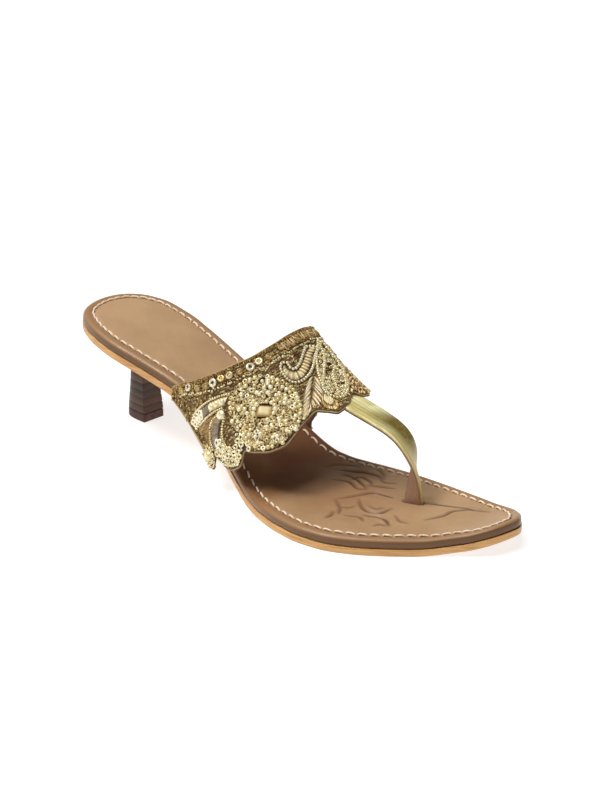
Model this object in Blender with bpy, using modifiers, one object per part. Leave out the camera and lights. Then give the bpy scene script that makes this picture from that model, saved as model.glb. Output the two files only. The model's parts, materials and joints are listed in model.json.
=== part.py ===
"""High heel thong sandal for the right foot, as separate solids.

A kitten heel mule: a thin outsole, a leather covered insole, a small stacked heel with its
top piece, and an upper that is one hollow wall: a broad band over the instep, joined to a
thong strap that arches forward, twists and goes down through a slot in the insole.

Metres, +X towards the toe, +Y towards the inner (medial) side, +Z up. The outsole stands on
the floor at its forepart, and the top piece stands on the same floor.
"""

import math
from collections import namedtuple

import bmesh
import bpy
from mathutils import Vector

MM = 0.001
OBJECT_NAME = "thong_sandal"

# ---------------------------------------------------------------- driving sizes
SHOE_LENGTH = 253.0 * MM
BALL_WIDTH = 79.5 * MM
HEEL_RISE = 44.8 * MM
INSTEP_HEIGHT = 50.0 * MM

OUTSOLE_THICKNESS = 3.3 * MM
INSOLE_THICKNESS = 4.2 * MM
INSOLE_INSET = 0.3 * MM
RIM_RADIUS = 2.2 * MM
SOLE_CHAMFER = 0.5 * MM
MOST_EDGE = 0.3
GAP = 0.3 * MM

UPPER_WALL = 2.0 * MM
MARGIN_WALL = 1.2 * MM
MARGIN_WIDTH = 7.0 * MM
MARGIN_ENDS = 2.0 * MM
BAND_STAND = 3.2 * MM
SKIRT_FLARE = 2.0 * MM
MEDIAL_FLARE = 0.8 * MM

STRAP_WIDTH = 14.0 * MM
POST_WIDTH = 8.5 * MM
STRAP_WALL = 2.4 * MM
POST_TWIST = math.radians(110.0)

# Where the last's highest line lies between its two edges, and how full its two walls are:
# along the top and up the side, as shares of the wall's own breadth and height.
CROWN_AROUND = 0.6
LATERAL_FULLNESS = (0.50, 0.40)
MEDIAL_FULLNESS = (0.75, 0.55)

HEEL_TIP_HEIGHT = 4.0 * MM
HEEL_CENTRE = Vector((28.7 * MM, -0.8 * MM, 0.0))
HEEL_TURN = math.radians(-3.0)
HEEL_DEPTH = 15.2 * MM
HEEL_WIDTH = 12.2 * MM
HEEL_EDGE = 0.35 * MM

# ---------------------------------------------------------------- how finely they are cut
SOLE_STATIONS = 58
BAND_AROUND = 76
BAND_ACROSS = 9
STRAP_STATIONS = 37
STRAP_STEP = 0.05

# ---------------------------------------------------------------- tables
# along is the distance from the back of the heel, as a share of SHOE_LENGTH. lateral and
# medial are half breadths, as shares of BALL_WIDTH.
Outline = namedtuple("Outline", "along lateral medial")
OUTLINE = (
    Outline(0.000, 0.000, 0.000),
    Outline(0.020, 0.207, 0.195),
    Outline(0.050, 0.280, 0.272),
    Outline(0.100, 0.338, 0.314),
    Outline(0.150, 0.357, 0.312),
    Outline(0.200, 0.350, 0.290),
    Outline(0.300, 0.332, 0.242),
    Outline(0.400, 0.373, 0.210),
    Outline(0.500, 0.492, 0.213),
    Outline(0.600, 0.622, 0.256),
    Outline(0.650, 0.666, 0.284),
    Outline(0.700, 0.686, 0.306),
    Outline(0.750, 0.669, 0.316),
    Outline(0.800, 0.606, 0.320),
    Outline(0.850, 0.497, 0.320),
    Outline(0.900, 0.356, 0.316),
    Outline(0.940, 0.232, 0.288),
    Outline(0.970, 0.150, 0.226),
    Outline(0.988, 0.082, 0.160),
    Outline(1.000, -0.075, 0.075),
)

# rise is the height of the outsole's underside, as a share of HEEL_RISE.
Rise = namedtuple("Rise", "along rise")
RISE = (
    Rise(0.000, 1.000),
    Rise(0.080, 0.945),
    Rise(0.160, 0.862),
    Rise(0.240, 0.757),
    Rise(0.320, 0.622),
    Rise(0.400, 0.410),
    Rise(0.480, 0.166),
    Rise(0.550, 0.022),
    Rise(0.590, 0.000),
    Rise(0.890, 0.000),
    Rise(0.950, 0.050),
    Rise(1.000, 0.145),
)

# The last above the insole. crown is how far the highest line lies to the medial side, as a
# share of BALL_WIDTH, height is its height over the insole as a share of INSTEP_HEIGHT, the
# swells are how far the walls bulge past the sole's edge, as shares of BALL_WIDTH, and stand
# is how far the lateral wall's foot stands off that edge, as a share of BAND_STAND.
Last = namedtuple("Last", "along crown height lateral_swell medial_swell stand")
LAST = (
    Last(0.28, 0.06, 1.16, 0.05, 0.14, 0.00),
    Last(0.36, 0.09, 1.13, 0.05, 0.14, 0.55),
    Last(0.44, 0.13, 1.00, 0.05, 0.13, 1.00),
    Last(0.50, 0.14, 0.94, 0.05, 0.11, 1.00),
    Last(0.56, 0.12, 0.85, 0.04, 0.09, 0.60),
    Last(0.60, 0.10, 0.77, 0.03, 0.07, 0.30),
    Last(0.64, 0.07, 0.70, 0.03, 0.05, 0.00),
    Last(0.70, 0.03, 0.62, 0.02, 0.04, 0.00),
)


def turned(along):
    """The angle round a half circle that lies over this share of the length."""
    return math.acos(max(-1.0, min(1.0, 1.0 - 2.0 * along)))


def smooth(rows, column, place, key):
    """A table's column at place, by a cubic that never overshoots its rows."""
    at = [key(row) for row in rows]
    values = [getattr(row, column) for row in rows]
    last = len(rows) - 1
    place = max(at[0], min(at[-1], place))
    i = max(k for k in range(last) if at[k] <= place)
    rates = [(values[k + 1] - values[k]) / (at[k + 1] - at[k]) for k in range(last)]

    def slope(k):
        if k in (0, last):
            return rates[min(k, last - 1)]
        before, after = rates[k - 1], rates[k]
        if before * after <= 0.0:
            return 0.0
        steps = at[k] - at[k - 1], at[k + 1] - at[k]
        heavy, light = 2 * steps[1] + steps[0], steps[1] + 2 * steps[0]
        return (heavy + light) / (heavy / before + light / after)

    step = at[i + 1] - at[i]
    s = (place - at[i]) / step
    return (
        (2 * s**3 - 3 * s**2 + 1) * values[i]
        + (s**3 - 2 * s**2 + s) * step * slope(i)
        + (3 * s**2 - 2 * s**3) * values[i + 1]
        + (s**3 - s**2) * step * slope(i + 1)
    )


# ---------------------------------------------------------------- the sole's own functions
def half_breadths(x):
    """Lateral and medial half breadth of the outsole at x."""
    place = turned(x / SHOE_LENGTH)

    def column(name):
        return smooth(OUTLINE, name, place, lambda row: turned(row.along)) * BALL_WIDTH

    return column("lateral"), column("medial")


def underside(x):
    """Height of the outsole's underside at x."""
    return smooth(RISE, "rise", x / SHOE_LENGTH, lambda row: row.along) * HEEL_RISE


def lean(x):
    """How much a thickness grows when it is measured straight up on the slope at x."""
    step = 1.0 * MM
    slope = (underside(x + step) - underside(x - step)) / (2 * step)
    return math.hypot(1.0, slope)


def outsole_top(x):
    return underside(x) + OUTSOLE_THICKNESS * lean(x)


def insole_bottom(x):
    return outsole_top(x) + GAP


def insole_top(x):
    return insole_bottom(x) + INSOLE_THICKNESS * lean(x)


def last_value(column, x, scale):
    return smooth(LAST, column, x / SHOE_LENGTH, lambda row: row.along) * scale


def bezier(ends, s):
    a, b, c, d = ends
    r = 1.0 - s
    return r**3 * a + 3 * r**2 * s * b + 3 * r * s**2 * c + s**3 * d


def on_last(x, around):
    """A point of the last's surface: around runs from 0 at the lateral edge to 1 at the medial."""
    lateral, medial = half_breadths(x)
    floor = insole_top(x)
    crown = last_value("crown", x, BALL_WIDTH)
    height = last_value("height", x, INSTEP_HEIGHT)
    top = Vector((crown, floor + height))
    if around < CROWN_AROUND:
        foot = Vector((-lateral - GAP - last_value("stand", x, BAND_STAND), floor))
        swell = -last_value("lateral_swell", x, BALL_WIDTH)
        along_top, up_side = LATERAL_FULLNESS
        reach = along_top * (foot.x - crown)
        s = around / CROWN_AROUND
    else:
        foot = Vector((medial + GAP, floor))
        swell = last_value("medial_swell", x, BALL_WIDTH)
        along_top, up_side = MEDIAL_FULLNESS
        reach = along_top * (foot.x + swell - crown)
        s = (1.0 - around) / (1.0 - CROWN_AROUND)
    side = foot + Vector((swell, up_side * height))
    y, z = bezier((foot, side, top + Vector((reach, 0.0)), top), s)
    return Vector((x, y, z))


# ---------------------------------------------------------------- materials
def leather(name, colour, roughness, metallic=0.0):
    """A Principled material of one colour."""
    made = bpy.data.materials.new(name)
    made.use_nodes = True
    shader = made.node_tree.nodes["Principled BSDF"]
    shader.inputs["Base Color"].default_value = (*colour, 1.0)
    shader.inputs["Roughness"].default_value = roughness
    shader.inputs["Metallic"].default_value = metallic
    made.diffuse_color = (*colour, 1.0)
    return made


# ---------------------------------------------------------------- meshes
def collection(name):
    made = bpy.data.collections.new(name)
    bpy.context.scene.collection.children.link(made)
    return made


def add_object(name, mesh, home, material=None):
    made = bpy.data.objects.new(name, mesh)
    if material:
        mesh.materials.append(material)
    home.objects.link(made)
    return made


def loft(name, rings):
    """A closed solid through rings of equally many points, with a face over each end."""
    work = bmesh.new()
    rows = [[work.verts.new(point) for point in ring] for ring in rings]
    count = len(rings[0])
    for before, after in zip(rows, rows[1:]):
        for k in range(count):
            nearby = (k + 1) % count
            work.faces.new((before[k], before[nearby], after[nearby], after[k]))
    work.faces.new(reversed(rows[0]))
    work.faces.new(rows[-1])
    bmesh.ops.recalc_face_normals(work, faces=work.faces)
    mesh = bpy.data.meshes.new(name)
    work.to_mesh(mesh)
    work.free()
    return mesh


def sheet(name, rows):
    """An open surface through rows of equally many points."""
    work = bmesh.new()
    grid = [[work.verts.new(point) for point in row] for row in rows]
    for before, after in zip(grid, grid[1:]):
        for k in range(len(before) - 1):
            work.faces.new((before[k], before[k + 1], after[k + 1], after[k]))
    mesh = bpy.data.meshes.new(name)
    work.to_mesh(mesh)
    work.free()
    return mesh


def boolean(target, name, operation, other):
    made = target.modifiers.new(name, "BOOLEAN")
    made.operation = operation
    made.object = other
    return made


def hidden(helper):
    """Marks an object as a tool that shapes other pieces."""
    helper.hide_render = True
    helper.display_type = "WIRE"
    return helper


# ---------------------------------------------------------------- the sole
def sole_stations():
    """Where the sole is cut across, close together at its two round ends."""
    for k in range(SOLE_STATIONS):
        turn = math.pi * (k + 0.5) / SOLE_STATIONS
        yield SHOE_LENGTH * (1.0 - math.cos(turn)) / 2.0


def evenly(low, high, count):
    return [low + (high - low) * k / (count - 1) for k in range(count)]


def outsole_ring(x):
    """Across the outsole: flat below and above, with its lower edges chamfered."""
    lateral, medial = half_breadths(x)
    low, high = underside(x), outsole_top(x)
    edge = min(SOLE_CHAMFER, MOST_EDGE * (lateral + medial))
    ring = [(x, y, low) for y in evenly(-lateral + edge, medial - edge, 6)]
    ring += [(x, medial, low + edge), (x, medial, high)]
    ring += [(x, y, high) for y in evenly(medial, -lateral, 6)[1:-1]]
    ring += [(x, -lateral, high), (x, -lateral, low + edge)]
    return ring


def outsole(home):
    rings = [outsole_ring(x) for x in sole_stations()]
    material = leather("outsole_leather", (0.76, 0.52, 0.26), 0.55)
    return add_object("outsole", loft("outsole", rings), home, material)


def insole_ring(x):
    """Across the insole: flat below, its upper edges rolled over like a wrapped edge."""
    lateral, medial = half_breadths(x)
    inset = min(INSOLE_INSET, MOST_EDGE * (lateral + medial))
    lateral, medial = lateral - inset, medial - inset
    low, high = insole_bottom(x), insole_top(x)
    round_x = min(RIM_RADIUS, MOST_EDGE * (lateral + medial))
    round_z = min(RIM_RADIUS, high - low - GAP)
    arc = [math.radians(a) for a in (0.0, 22.5, 45.0, 67.5, 90.0)]
    ring = [(x, y, low) for y in evenly(-lateral, medial, 6)]
    for a in arc:
        y = medial - round_x * (1.0 - math.cos(a))
        ring.append((x, y, high - round_z * (1.0 - math.sin(a))))
    ring += [(x, y, high) for y in evenly(medial - round_x, -lateral + round_x, 7)[1:-1]]
    for a in reversed(arc):
        y = -lateral + round_x * (1.0 - math.cos(a))
        ring.append((x, y, high - round_z * (1.0 - math.sin(a))))
    return ring


def insole(home, tools):
    """The covered insole, slotted for the post and rebated below for the upper's margins."""
    rings = [insole_ring(x) for x in sole_stations()]
    material = leather("insole_leather", (0.43, 0.29, 0.18), 0.5)
    made = add_object("insole", loft("insole", rings), home, material)
    slot = hidden(add_object("slot_tool", post_slot(), tools))
    boolean(made, "post slot", "DIFFERENCE", slot)
    for side in ("lateral", "medial"):
        name = side + "_rebate_tool"
        tool = hidden(add_object(name, margin_strip(name, side, GAP), tools))
        boolean(made, side + " rebate", "DIFFERENCE", tool)
    return made


# ---------------------------------------------------------------- the heel
# Half of the heel's plan, from the breast to the back: how far forward and how far out each
# corner lies, as shares of its depth and of its width.
HEEL_OUTLINE = (
    (0.50, 0.46),
    (0.46, 0.50),
    (0.10, 0.50),
    (-0.18, 0.46),
    (-0.38, 0.34),
    (-0.48, 0.16),
)


def heel_ring(depth, width, height_at):
    """A D shape: flat at the breast, its sides drawn in to a round back."""
    shape = HEEL_OUTLINE + tuple((u, -v) for u, v in reversed(HEEL_OUTLINE))
    ring = []
    for u, v in shape:
        forward, side = u * depth, v * width
        x = HEEL_CENTRE.x + forward * math.cos(HEEL_TURN) - side * math.sin(HEEL_TURN)
        y = HEEL_CENTRE.y + forward * math.sin(HEEL_TURN) + side * math.cos(HEEL_TURN)
        ring.append((x, y, height_at(x)))
    return ring


# share is how far up the heel, spread is its depth and width there as a share of the base.
HeelSection = namedtuple("HeelSection", "share spread")
HEEL_SECTIONS = (
    HeelSection(0.00, 1.00),
    HeelSection(0.12, 0.955),
    HeelSection(0.28, 0.885),
    HeelSection(0.45, 0.830),
    HeelSection(0.62, 0.800),
    HeelSection(0.78, 0.800),
    HeelSection(0.90, 0.830),
    HeelSection(1.00, 0.920),
)


def heel(home):
    """The stacked heel, waisted near its top, cut to the slope of the outsole."""
    foot = HEEL_TIP_HEIGHT + GAP
    rings = []
    for section in HEEL_SECTIONS:
        spread = section.spread

        def height_at(x, share=section.share):
            return foot + share * (underside(x) - GAP - foot)

        rings.append(heel_ring(HEEL_DEPTH * spread, HEEL_WIDTH * spread, height_at))
    material = leather("heel_stack", (0.10, 0.06, 0.04), 0.5)
    return add_object("heel", loft("heel", rings), home, material)


def heel_top_piece(home):
    """The flat lift under the heel that meets the floor."""
    levels = (
        (0.0, -2 * HEEL_EDGE),
        (HEEL_EDGE, 0.0),
        (HEEL_TIP_HEIGHT - HEEL_EDGE, 0.0),
        (HEEL_TIP_HEIGHT, -HEEL_EDGE),
    )
    rings = [
        heel_ring(HEEL_DEPTH + grow, HEEL_WIDTH + grow, lambda x, z=z: z) for z, grow in levels
    ]
    material = leather("top_piece_rubber", (0.11, 0.055, 0.04), 0.6)
    return add_object("heel_top_piece", loft("heel_top_piece", rings), home, material)


# ---------------------------------------------------------------- the upper
# The band's two long edges. around runs over the last from the lateral edge of the sole, 0,
# to the medial edge, 1, and along is a share of SHOE_LENGTH.
Edge = namedtuple("Edge", "around along")
BACK_EDGE = (
    Edge(0.00, 0.306),
    Edge(0.06, 0.338),
    Edge(0.12, 0.370),
    Edge(0.20, 0.404),
    Edge(0.30, 0.436),
    Edge(0.40, 0.460),
    Edge(0.50, 0.471),
    Edge(0.62, 0.474),
    Edge(0.75, 0.455),
    Edge(0.88, 0.400),
    Edge(1.00, 0.325),
)
FRONT_EDGE = (
    Edge(0.000, 0.452),
    Edge(0.030, 0.500),
    Edge(0.080, 0.528),
    Edge(0.125, 0.540),
    Edge(0.165, 0.537),
    Edge(0.200, 0.560),
    Edge(0.250, 0.592),
    Edge(0.310, 0.610),
    Edge(0.370, 0.608),
    Edge(0.440, 0.606),
    Edge(0.475, 0.622),
    Edge(0.505, 0.638),
    Edge(0.545, 0.636),
    Edge(0.595, 0.616),
    Edge(0.630, 0.630),
    Edge(0.670, 0.628),
    Edge(0.710, 0.612),
    Edge(0.760, 0.584),
    Edge(0.820, 0.548),
    Edge(0.880, 0.515),
    Edge(0.940, 0.490),
    Edge(1.000, 0.474),
)

# The skirt that hangs past the sole's edge, at the band's back and front: drop is a share of
# the sole's thickness, and flare a share of SKIRT_FLARE.
Skirt = namedtuple("Skirt", "back_drop front_drop flare")
SKIRT = (
    Skirt(0.75, 1.10, 1.00),
    Skirt(0.60, 0.85, 0.65),
    Skirt(0.45, 0.60, 0.35),
    Skirt(0.22, 0.30, 0.12),
)

# The thong strap's middle line from under the band to the foot of its post, in millimetres,
# with its width as a share from STRAP_WIDTH, 0, to POST_WIDTH, 1, and its share of the twist.
Strap = namedtuple("Strap", "along across height taper twist")
STRAP = (
    Strap(143.0, 4.4, 48.2, 0.00, 0.00),
    Strap(150.0, 3.7, 45.2, 0.00, 0.00),
    Strap(157.0, 3.1, 43.4, 0.00, 0.00),
    Strap(164.0, 2.6, 42.2, 0.00, 0.00),
    Strap(171.0, 2.2, 41.2, 0.03, 0.00),
    Strap(178.0, 1.7, 40.1, 0.08, 0.01),
    Strap(184.5, 1.3, 38.6, 0.16, 0.04),
    Strap(190.0, 0.9, 36.3, 0.26, 0.10),
    Strap(194.2, 0.5, 32.8, 0.38, 0.22),
    Strap(196.9, 0.2, 28.6, 0.50, 0.42),
    Strap(198.5, 0.0, 24.0, 0.64, 0.66),
    Strap(199.1, -0.1, 19.0, 0.78, 0.86),
    Strap(199.0, -0.2, 13.5, 0.92, 0.97),
    Strap(198.7, -0.3, 8.5, 1.00, 1.00),
    Strap(198.7, -0.3, 3.7, 1.00, 1.00),
)


def edge_at(table, around):
    """Where one of the band's long edges crosses the last at around, as a distance."""
    return smooth(table, "along", around, lambda row: row.around) * SHOE_LENGTH


def wall_offset(x, side, flare):
    """How far the band's inner face lies outside the sole's edge, below the insole's top."""
    stand = last_value("stand", x, BAND_STAND)
    if side == "medial":
        return GAP + MEDIAL_FLARE * flare
    return GAP + stand + flare * (MEDIAL_FLARE + (SKIRT_FLARE - MEDIAL_FLARE) * stand / BAND_STAND)


def skirt_point(x, side, row, share):
    """A point of the band's inner face below the insole's top, share of the way to its front."""
    lateral, medial = half_breadths(x)
    out = wall_offset(x, side, row.flare)
    y = -(lateral + out) if side == "lateral" else medial + out
    deep = insole_top(x) - underside(x)
    drop = row.back_drop + (row.front_drop - row.back_drop) * math.sqrt(share)
    return Vector((x, y, insole_top(x) - drop * deep))


def band_rows():
    """The band's inner face, in rows that run from its back edge to its front edge."""
    shares = evenly(0.0, 1.0, BAND_ACROSS)

    def stations(around):
        back, front = edge_at(BACK_EDGE, around), edge_at(FRONT_EDGE, around)
        return [back + (front - back) * share for share in shares]

    def skirt(side, row):
        around = 0.0 if side == "lateral" else 1.0
        return [skirt_point(x, side, row, share) for x, share in zip(stations(around), shares)]

    rows = [skirt("lateral", row) for row in SKIRT]
    for around in evenly(0.0, 1.0, BAND_AROUND):
        rows.append([on_last(x, around) for x in stations(around)])
    rows += [skirt("medial", row) for row in reversed(SKIRT)]
    return rows


def margin_strip(name, side, grow):
    """The band's margin, lasted under the insole, or with grow the tool that makes room for it."""
    around = 0.0 if side == "lateral" else 1.0
    ends = MARGIN_ENDS - grow
    start = edge_at(BACK_EDGE, around) + ends
    finish = edge_at(FRONT_EDGE, around) - ends
    rings = []
    for x in evenly(start, finish, BAND_ACROSS):
        breadth = half_breadths(x)[0 if side == "lateral" else 1]
        outer = breadth + wall_offset(x, side, SKIRT[-2].flare) + 0.5 * UPPER_WALL + grow
        inner = breadth - MARGIN_WIDTH - grow
        low = outsole_top(x) + GAP - 3 * grow
        high = outsole_top(x) + GAP + MARGIN_WALL * lean(x) + grow
        sign = -1.0 if side == "lateral" else 1.0
        corners = ((inner, low), (outer, low), (outer, high), (inner, high))
        rings.append([(x, sign * y, z) for y, z in corners])
    return loft(name, rings)


def strap_value(column, place):
    return smooth(STRAP, column, place, lambda row: float(STRAP.index(row)))


def strap_middle(place):
    return Vector([strap_value(column, place) for column in ("along", "across", "height")]) * MM


def strap_ring(place):
    """Across the strap at a place counted in rows of its table."""
    ahead = strap_middle(place + STRAP_STEP) - strap_middle(place - STRAP_STEP)
    ahead.normalize()
    across = Vector((0.0, 1.0, 0.0))
    across = (across - across.dot(ahead) * ahead).normalized()
    turn = -strap_value("twist", place) * POST_TWIST
    face = ahead.cross(across)
    wide = across * math.cos(turn) + face * math.sin(turn)
    thick = ahead.cross(wide)
    taper = strap_value("taper", place)
    half = 0.5 * (STRAP_WIDTH + (POST_WIDTH - STRAP_WIDTH) * taper)
    deep = 0.5 * STRAP_WALL
    cut = 0.5 * deep
    corners = (
        (-half, -deep + cut),
        (-half + cut, -deep),
        (half - cut, -deep),
        (half, -deep + cut),
    )
    section = corners + tuple((-u, -v) for u, v in corners)
    middle = strap_middle(place)
    return [middle + u * wide + v * thick for u, v in section]


def strap_mesh():
    last = len(STRAP) - 1
    return loft("strap", [strap_ring(place) for place in evenly(0.0, last, STRAP_STATIONS)])


def post_slot():
    """The tool for the slot that the post goes down through, a little larger than the post."""
    foot = strap_middle(len(STRAP) - 1)
    angle = math.radians(90.0) + POST_TWIST
    wide = Vector((math.cos(angle), math.sin(angle), 0.0)) * (0.5 * POST_WIDTH + GAP)
    thick = Vector((-math.sin(angle), math.cos(angle), 0.0)) * (0.5 * STRAP_WALL + GAP)
    rings = []
    corners = ((-1, -1), (1, -1), (1, 1), (-1, 1))
    for height in (outsole_top(foot.x) - GAP, insole_top(foot.x) + INSOLE_THICKNESS):
        centre = Vector((foot.x, foot.y, height))
        rings.append([centre + u * wide + v * thick for u, v in corners])
    return loft("slot_tool", rings)


def upper(home, tools):
    """The band, the thong strap and its post as one hollow wall with the lasted margins."""
    material = leather("upper_gold", (0.50, 0.40, 0.18), 0.4, 0.5)
    made = add_object("upper", sheet("upper", band_rows()), home, material)
    wall = made.modifiers.new("wall", "SOLIDIFY")
    wall.thickness = UPPER_WALL
    wall.offset = 1.0
    joined = {"thong_strap_tool": strap_mesh()}
    for side in ("lateral", "medial"):
        name = side + "_margin_tool"
        joined[name] = margin_strip(name, side, 0.0)
    for name, mesh in joined.items():
        boolean(made, "join " + name, "UNION", hidden(add_object(name, mesh, tools)))
    return made


# ---------------------------------------------------------------- the whole
def clear_scene():
    for old in list(bpy.data.objects):
        bpy.data.objects.remove(old, do_unlink=True)


def stand_on_origin(parts, tools):
    """Moves everything so that the origin is on the floor, under the middle of the shoe."""
    bpy.context.view_layer.update()
    graph = bpy.context.evaluated_depsgraph_get()
    corners = [c for part in parts for c in part.evaluated_get(graph).bound_box]
    columns = list(zip(*corners))
    middle_x, middle_y = ((min(column) + max(column)) / 2.0 for column in columns[:2])
    for each in list(parts) + list(tools):
        each.location = (-middle_x, -middle_y, 0.0)
    bpy.context.view_layer.update()


def main():
    clear_scene()
    home, tools = collection(OBJECT_NAME), collection("tools")
    tools.hide_render = True
    parts = [
        outsole(home),
        insole(home, tools),
        heel(home),
        heel_top_piece(home),
        upper(home, tools),
    ]
    stand_on_origin(parts, tools.objects)


if __name__ == "__main__":
    main()
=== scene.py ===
"""High heel thong sandal for the right foot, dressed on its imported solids.

A kitten heel mule: a tan leather outsole, a covered insole with a rolled and stitched rim, a
stacked heel with its top piece, a broad band embroidered and beaded in gold, and a gold strap
that arches forward, twists and goes down between the toes.

Metres, +X towards the toe, +Y towards the big toe side, +Z up, the floor at zero.
"""

from __future__ import annotations

import json
import logging
import math
from dataclasses import dataclass, field
from enum import Enum
from typing import Callable, NamedTuple, Sequence

import bpy
import numpy as np
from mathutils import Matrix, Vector

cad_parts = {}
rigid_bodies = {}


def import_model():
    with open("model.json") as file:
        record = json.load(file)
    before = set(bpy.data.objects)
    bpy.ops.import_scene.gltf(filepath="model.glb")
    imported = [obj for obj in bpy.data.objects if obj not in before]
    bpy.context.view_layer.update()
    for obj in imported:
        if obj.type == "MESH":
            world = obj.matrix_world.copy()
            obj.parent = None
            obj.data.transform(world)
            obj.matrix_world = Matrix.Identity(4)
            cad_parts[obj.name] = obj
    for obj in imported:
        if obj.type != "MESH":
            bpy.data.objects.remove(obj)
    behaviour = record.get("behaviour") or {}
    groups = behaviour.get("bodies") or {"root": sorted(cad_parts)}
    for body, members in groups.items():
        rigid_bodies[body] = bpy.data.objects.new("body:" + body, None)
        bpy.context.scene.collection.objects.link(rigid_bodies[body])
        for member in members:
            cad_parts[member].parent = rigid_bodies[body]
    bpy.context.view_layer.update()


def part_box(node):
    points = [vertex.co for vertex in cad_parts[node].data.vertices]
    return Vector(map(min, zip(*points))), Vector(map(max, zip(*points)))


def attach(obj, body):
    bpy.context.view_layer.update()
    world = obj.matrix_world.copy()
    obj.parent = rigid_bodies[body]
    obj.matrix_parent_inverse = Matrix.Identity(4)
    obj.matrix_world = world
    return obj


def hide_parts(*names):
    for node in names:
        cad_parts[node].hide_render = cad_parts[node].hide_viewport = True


Array = np.ndarray
Piece = bpy.types.Object
Material = bpy.types.Material
Socket = bpy.types.NodeSocket
Span = Sequence[float]
Line = Sequence[Span]
Pair = tuple[Array, Array]
LOG = logging.getLogger("thong_sandal")
MM = 0.001


# ---------------------------------------------------------------- the last
def smooth(at: Array, values: Array, place: Array) -> Array:
    """Reads a column by a cubic that never overshoots its rows.

    Args:
        at: where the rows lie, rising.
        values: the column.
        place: where it is read.

    Returns:
        The column's value at each place.
    """
    at, values = np.asarray(at, float), np.asarray(values, float)
    steps = np.diff(at)
    rates = np.diff(values) / steps
    slopes = np.concatenate(([rates[0]], np.zeros(len(at) - 2), [rates[-1]]))
    before, after = rates[:-1], rates[1:]
    heavy, light = 2 * steps[1:] + steps[:-1], steps[1:] + 2 * steps[:-1]
    with np.errstate(divide="ignore", invalid="ignore"):
        mean = (heavy + light) / (heavy / before + light / after)
    slopes[1:-1] = np.where(before * after > 0.0, mean, 0.0)
    place = np.clip(np.asarray(place, float), at[0], at[-1])
    i = np.clip(np.searchsorted(at, place, side="right") - 1, 0, len(steps) - 1)
    s = (place - at[i]) / steps[i]
    start = (2 * s**3 - 3 * s**2 + 1) * values[i] + (s**3 - 2 * s**2 + s) * steps[i] * slopes[i]
    return (
        start
        + (3 * s**2 - 2 * s**3) * values[i + 1]
        + (s**3 - s**2) * steps[i] * slopes[i + 1]
    )


def turned(along: Array) -> Array:
    """The angle round a half circle that lies over this share of the length."""
    return np.arccos(np.clip(1.0 - 2.0 * np.asarray(along, float), -1.0, 1.0))


def unit(vectors: Array) -> Array:
    """The vectors at length one."""
    return vectors / np.maximum(np.linalg.norm(vectors, axis=-1, keepdims=True), 1e-12)


def square_to(vectors: Array, *ways: Array) -> Array:
    """Unit vectors with what lies along each of these ways taken out."""
    for way in ways:
        vectors = vectors - np.sum(vectors * way, -1, keepdims=True) * way
    return unit(vectors)


def travelled(path: Array) -> Array:
    """How far along a path each of its points is."""
    return np.concatenate(([0.0], np.cumsum(np.linalg.norm(np.diff(path, axis=0), axis=1))))


class Table:
    """Columns, the first of which says where each row lies."""

    def __init__(self, names: str, *rows: Span) -> None:
        """Keeps each column under its name."""
        self.columns = dict(zip(names.split(), np.array(rows, float).T))
        self.at = next(iter(self.columns.values()))

    def read(self, name: str, place: Array, warp: Callable[[Array], Array] = np.asarray) -> Array:
        """A column's smooth value at each place, along a warped measure if one is given."""
        return smooth(warp(self.at), self.columns[name], warp(place))

    def by_row(self, name: str, place: Array) -> Array:
        """A column's smooth value at a row number."""
        return smooth(np.arange(len(self.at)), self.columns[name], place)


# The sole's half breadths as shares of the ball width, along its length.
OUTLINE = Table(
    "along lateral medial",
    (0.000, 0.000, 0.000), (0.020, 0.207, 0.195), (0.050, 0.280, 0.272), (0.100, 0.338, 0.314),
    (0.150, 0.357, 0.312), (0.200, 0.350, 0.290), (0.300, 0.332, 0.242), (0.400, 0.373, 0.210),
    (0.500, 0.492, 0.213), (0.600, 0.622, 0.256), (0.650, 0.666, 0.284), (0.700, 0.686, 0.306),
    (0.750, 0.669, 0.316), (0.800, 0.606, 0.320), (0.850, 0.497, 0.320), (0.900, 0.356, 0.316),
    (0.940, 0.232, 0.288), (0.970, 0.150, 0.226), (0.988, 0.082, 0.160), (1.000, -0.075, 0.075),
)
# The height of the sole's underside as a share of the heel rise.
RISE = Table(
    "along rise",
    (0.00, 1.000), (0.08, 0.945), (0.16, 0.862), (0.24, 0.757), (0.32, 0.622), (0.40, 0.410),
    (0.48, 0.166), (0.55, 0.022), (0.59, 0.000), (0.89, 0.000), (0.95, 0.050), (1.00, 0.145),
)
# The last above the insole: crown line, height, bulging walls and how far the lateral wall stands off.
LAST = Table(
    "along crown height lateral_swell medial_swell stand",
    (0.28, 0.06, 1.16, 0.05, 0.14, 0.00), (0.36, 0.09, 1.13, 0.05, 0.14, 0.55),
    (0.44, 0.13, 1.00, 0.05, 0.13, 1.00), (0.50, 0.14, 0.94, 0.05, 0.11, 1.00),
    (0.56, 0.12, 0.85, 0.04, 0.09, 0.60), (0.60, 0.10, 0.77, 0.03, 0.07, 0.30),
    (0.64, 0.07, 0.70, 0.03, 0.05, 0.00), (0.70, 0.03, 0.62, 0.02, 0.04, 0.00),
)
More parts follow.
